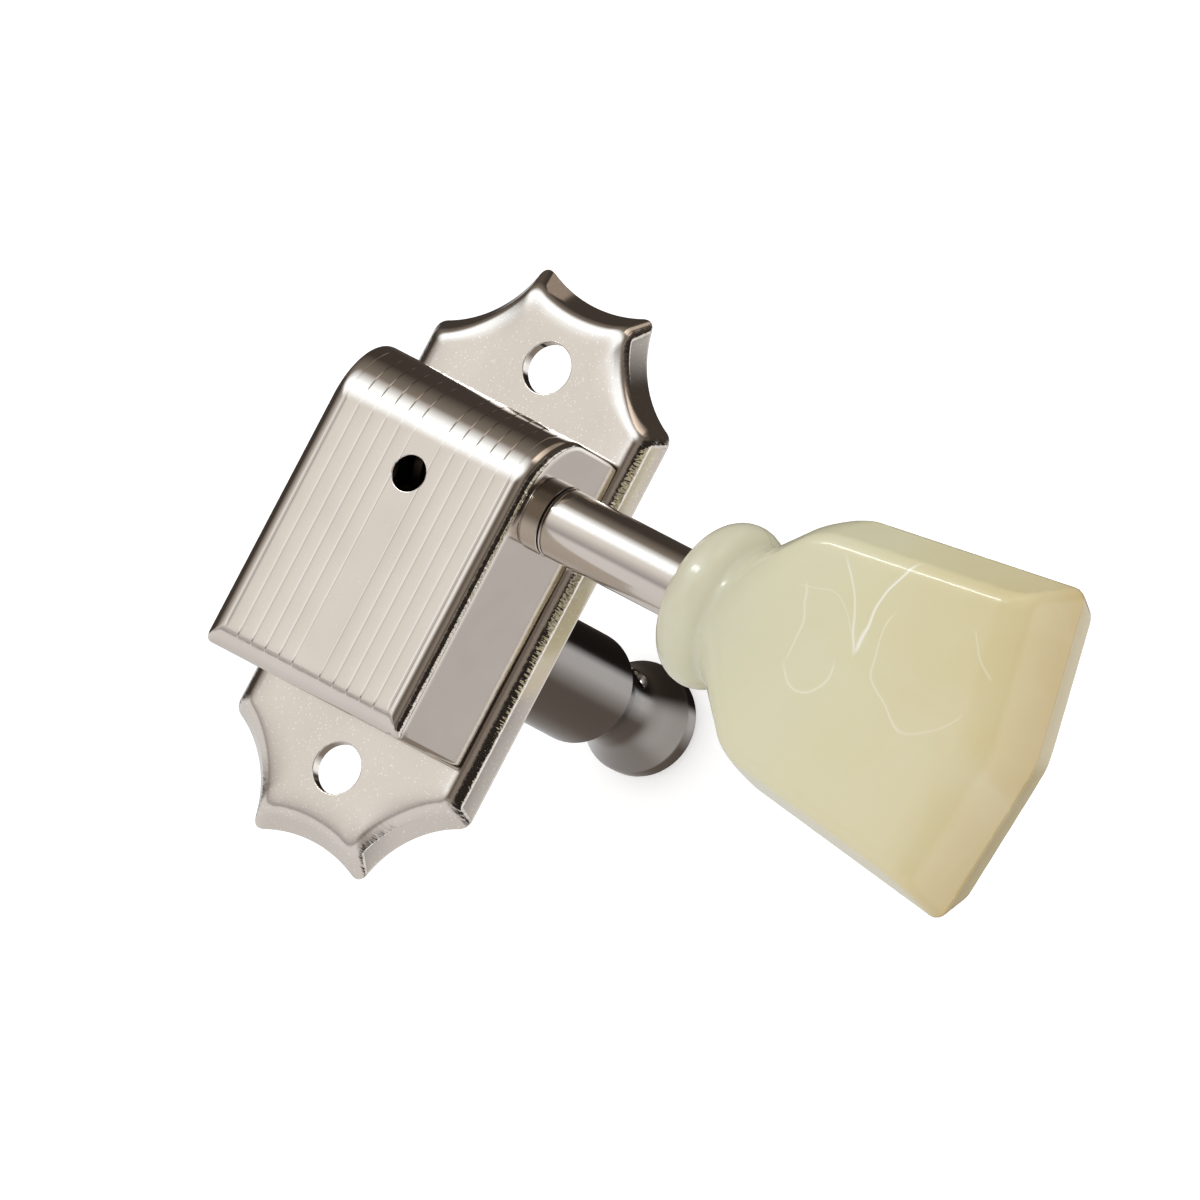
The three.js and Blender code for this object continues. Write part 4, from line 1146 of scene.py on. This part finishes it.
# lean in degrees, and what nickel shows there
LEAN_FAR = [
    (0, CEILING), (3, CEILING), (8, SOFT_BOX), (20, SOFT_BOX), (30, WOOD), (48, DARK_ROOM),
    (72, DARK_ROOM), (90, BROWN_ROOM),
]
LEAN_NEAR = [
    (0, CEILING), (16, SHADED_WALL), (22, PALE_WALL), (36, PALE_WALL), (90, GREY_WALL),
]
LEAN_TO_BUTTON = [
    (0, CEILING), (3, WHITE_CARD), (5, WHITE_CARD), (12, WOOD), (17, BROWN_ROOM),
    (27, WOOD), (30, WOOD), (38, BLACK_CLOTH), (54, BLACK_CLOTH), (59, PALE_WALL),
    (74, WHITE_CARD), (90, GREY_WALL),
]
LEAN_TO_TAIL = [
    (0, CEILING), (5, GREY_WALL), (14, WOOD), (24, DARK_ROOM), (46, DARK_ROOM),
    (58, GREY_WALL),
]
# degrees round the horizon from the button's side, towards the far side
HORIZON = [
    (-180, SHADED_WALL), (-85, GREY_WALL), (-45, WOOD), (-9, WOOD), (0, GREY_WALL),
    (14, WHITE_CARD), (27, WHITE_CARD), (36, BLACK_CLOTH), (68, BLACK_CLOTH),
    (120, BROWN_ROOM), (180, SHADED_WALL),
]
SOFT_BOX_GLOW = 0.4
BULB_GLOW = 7.0
SIDE_LAMP_GLOW = 5.0
BELOW = 0.5
SKY_LEVEL = 1.1
SKY_RISE = 0.15
SKY_FAR_SIDE = 0.13

print("stops in the room:",
      sum(map(len, (LEAN_FAR, LEAN_NEAR, LEAN_TO_BUTTON, LEAN_TO_TAIL, HORIZON))))

# %% Room
world = bpy.data.worlds.new("studio")
bpy.context.scene.world = world
world.use_nodes = True
sky = world.node_tree
sky.nodes.clear()


def room_side(share, stops, first, last):
    """Light of the room: the shown colour divided by the colour of nickel itself."""
    found = []
    for degrees, shown in stops:
        light = (a / b for a, b in zip(linear(shown)[:3], linear(NICKEL)))
        found.append(((degrees - first) / (last - first), (*light, 1)))
    return add(sky, "ValToRGB", [share], found)


ray = add(sky, "TexCoord").outputs["Generated"]
half_way = add(sky, "VectorMath.ADD", [ray, tuple(TOWARDS_CAMERA)])
mirror = add(sky, "VectorMath.NORMALIZE", [half_way])
x, y, z = add(sky, "SeparateXYZ", [mirror]).outputs
from_up = add(sky, "Math.ARCCOSINE", [z])
lean = add(sky, "Math.DIVIDE", [from_up, math.pi / 2])
x_squared, y_squared = (add(sky, "Math.MULTIPLY", [v, v]) for v in (x, y))
level = add(sky, "Math.ADD", [x_squared, y_squared])
level = add(sky, "Math.ADD", [level, 1e-7])
sideways, lengthways = (
    add(sky, "Mix.RGBA", [add(sky, "Math.GREATER_THAN", [v, 0.0]),
                          room_side(lean, behind, 0, 90), room_side(lean, ahead, 0, 90)])
    for v, behind, ahead in ((x, LEAN_TO_TAIL, LEAN_TO_BUTTON), (y, LEAN_NEAR, LEAN_FAR)))
turn = add(sky, "Math.ARCTAN2", [y, x])
turn = add(sky, "Math.MULTIPLY_ADD", [turn, 1 / (2 * math.pi), 0.5])
lengthways_part = add(sky, "Math.DIVIDE", [y_squared, level])
lengthways_part, upright = (
    add(sky, "MapRange", {"Value": value, "From Min": first, "From Max": last},
        interpolation_type="SMOOTHSTEP")
    for value, first, last in ((lengthways_part, 0.04, 0.45), (lean, 0.86, 0.95)))
leaning = add(sky, "Mix.RGBA", [lengthways_part, sideways, lengthways])
room_colour = add(sky, "Mix.RGBA", [upright, leaning, room_side(turn, HORIZON, -180, 180)])
print("nodes of the room:", len(sky.nodes))

# %% Lamps
# edges in degrees of lean to the button's side, then to the far side, and how bright
LAMPS = [
    (((-11, -8), (8, 5)), ((8, 11), (19, 16)), SOFT_BOX_GLOW),
    (((-10, -7), (9, 6)), ((11, 12.5), (16, 14.5)), BULB_GLOW),
    (((13, 17), (34, 28)), ((24, 30), (66, 58)), SIDE_LAMP_GLOW),
]
room_light = add(sky, "MapRange", {
    "Value": lean, "From Min": 1.0, "From Max": 1.15, "To Min": 1.0, "To Max": BELOW,
})
x_lean, y_lean = (add(sky, "Math.ARCTAN2", [v, z]) for v in (x, y))
for x_edges, y_edges, brightness in LAMPS:
    low_x, high_x, low_y, high_y = (
        add(sky, "MapRange", {
            "Value": angle, "From Min": math.radians(first), "From Max": math.radians(last),
        }, interpolation_type="SMOOTHSTEP")
        for angle, edges in ((x_lean, x_edges), (y_lean, y_edges)) for first, last in edges)
    in_x = add(sky, "Math.MULTIPLY", [low_x, high_x])
    in_y = add(sky, "Math.MULTIPLY", [low_y, high_y])
    inside = add(sky, "Math.MULTIPLY", [in_x, in_y])
    room_light = add(sky, "Math.MULTIPLY_ADD", [inside, brightness, room_light])

_, ray_y, ray_z = add(sky, "SeparateXYZ", [ray]).outputs
height = add(sky, "Math.MULTIPLY_ADD", [ray_z, SKY_RISE, SKY_LEVEL])
sky_light = add(sky, "Math.MULTIPLY_ADD", [ray_y, SKY_FAR_SIDE, height])
path = add(sky, "LightPath").outputs
soft = add(sky, "Background", {"Strength": sky_light})
room = add(sky, "Background", [room_colour, room_light])
paper = add(sky, "Background", [(1, 1, 1, 1)])
matt_or_metal = add(sky, "MixShader", [path["Is Glossy Ray"], soft, room])
seen = add(sky, "MixShader", [path["Is Camera Ray"], matt_or_metal, paper])
add(sky, "OutputWorld", [seen])
bpy.context.scene.view_settings.view_transform = "Standard"
print("nodes of the whole studio:", len(sky.nodes))

# %% [markdown]
# ## Floor
# The floor is plain pale card, just below the post. The camera sees it white, apart from the
# shadow that the machine leaves on it.

# %% Floor
FLOOR_Z = cad_low[2] / MM - 0.15
FLOOR_HALF = 1500.0

white_card, tree = new_material("white_card")
place = add(tree, "TexCoord").outputs["Object"]
grain = add(tree, "TexNoise", {"Vector": place, "Scale": per_mm(2)})
tint = add(tree, "Mix.RGBA", [grain, linear("#FBFBFA"), linear("#FFFFFF")])
seen = add(tree, "LightPath").outputs["Is Camera Ray"]
only_seen = add(tree, "Math.MULTIPLY", [seen, 0.35])
glow = add(tree, "Emission", {"Strength": only_seen})
card = add(tree, "AddShader", [add(tree, "BsdfDiffuse", [tint]), glow])
below = add(tree, "NewGeometry").outputs["Backfacing"]
add(tree, "OutputMaterial", [
    add(tree, "MixShader", [below, card, add(tree, "BsdfTransparent")])])

reach = FLOOR_HALF * MM
floor_mesh = bpy.data.meshes.new("floor")
floor_mesh.from_pydata([(x * reach, y * reach, 0) for x, y in
                        ((-1, -1), (1, -1), (1, 1), (-1, 1))], [], [(0, 1, 2, 3)])
floor_mesh.materials.append(white_card)
floor = in_scene("floor", floor_mesh)
floor.location = (0, 0, FLOOR_Z * MM)
floor.visible_glossy = False
print("floor height in mm:", round(FLOOR_Z, 2))
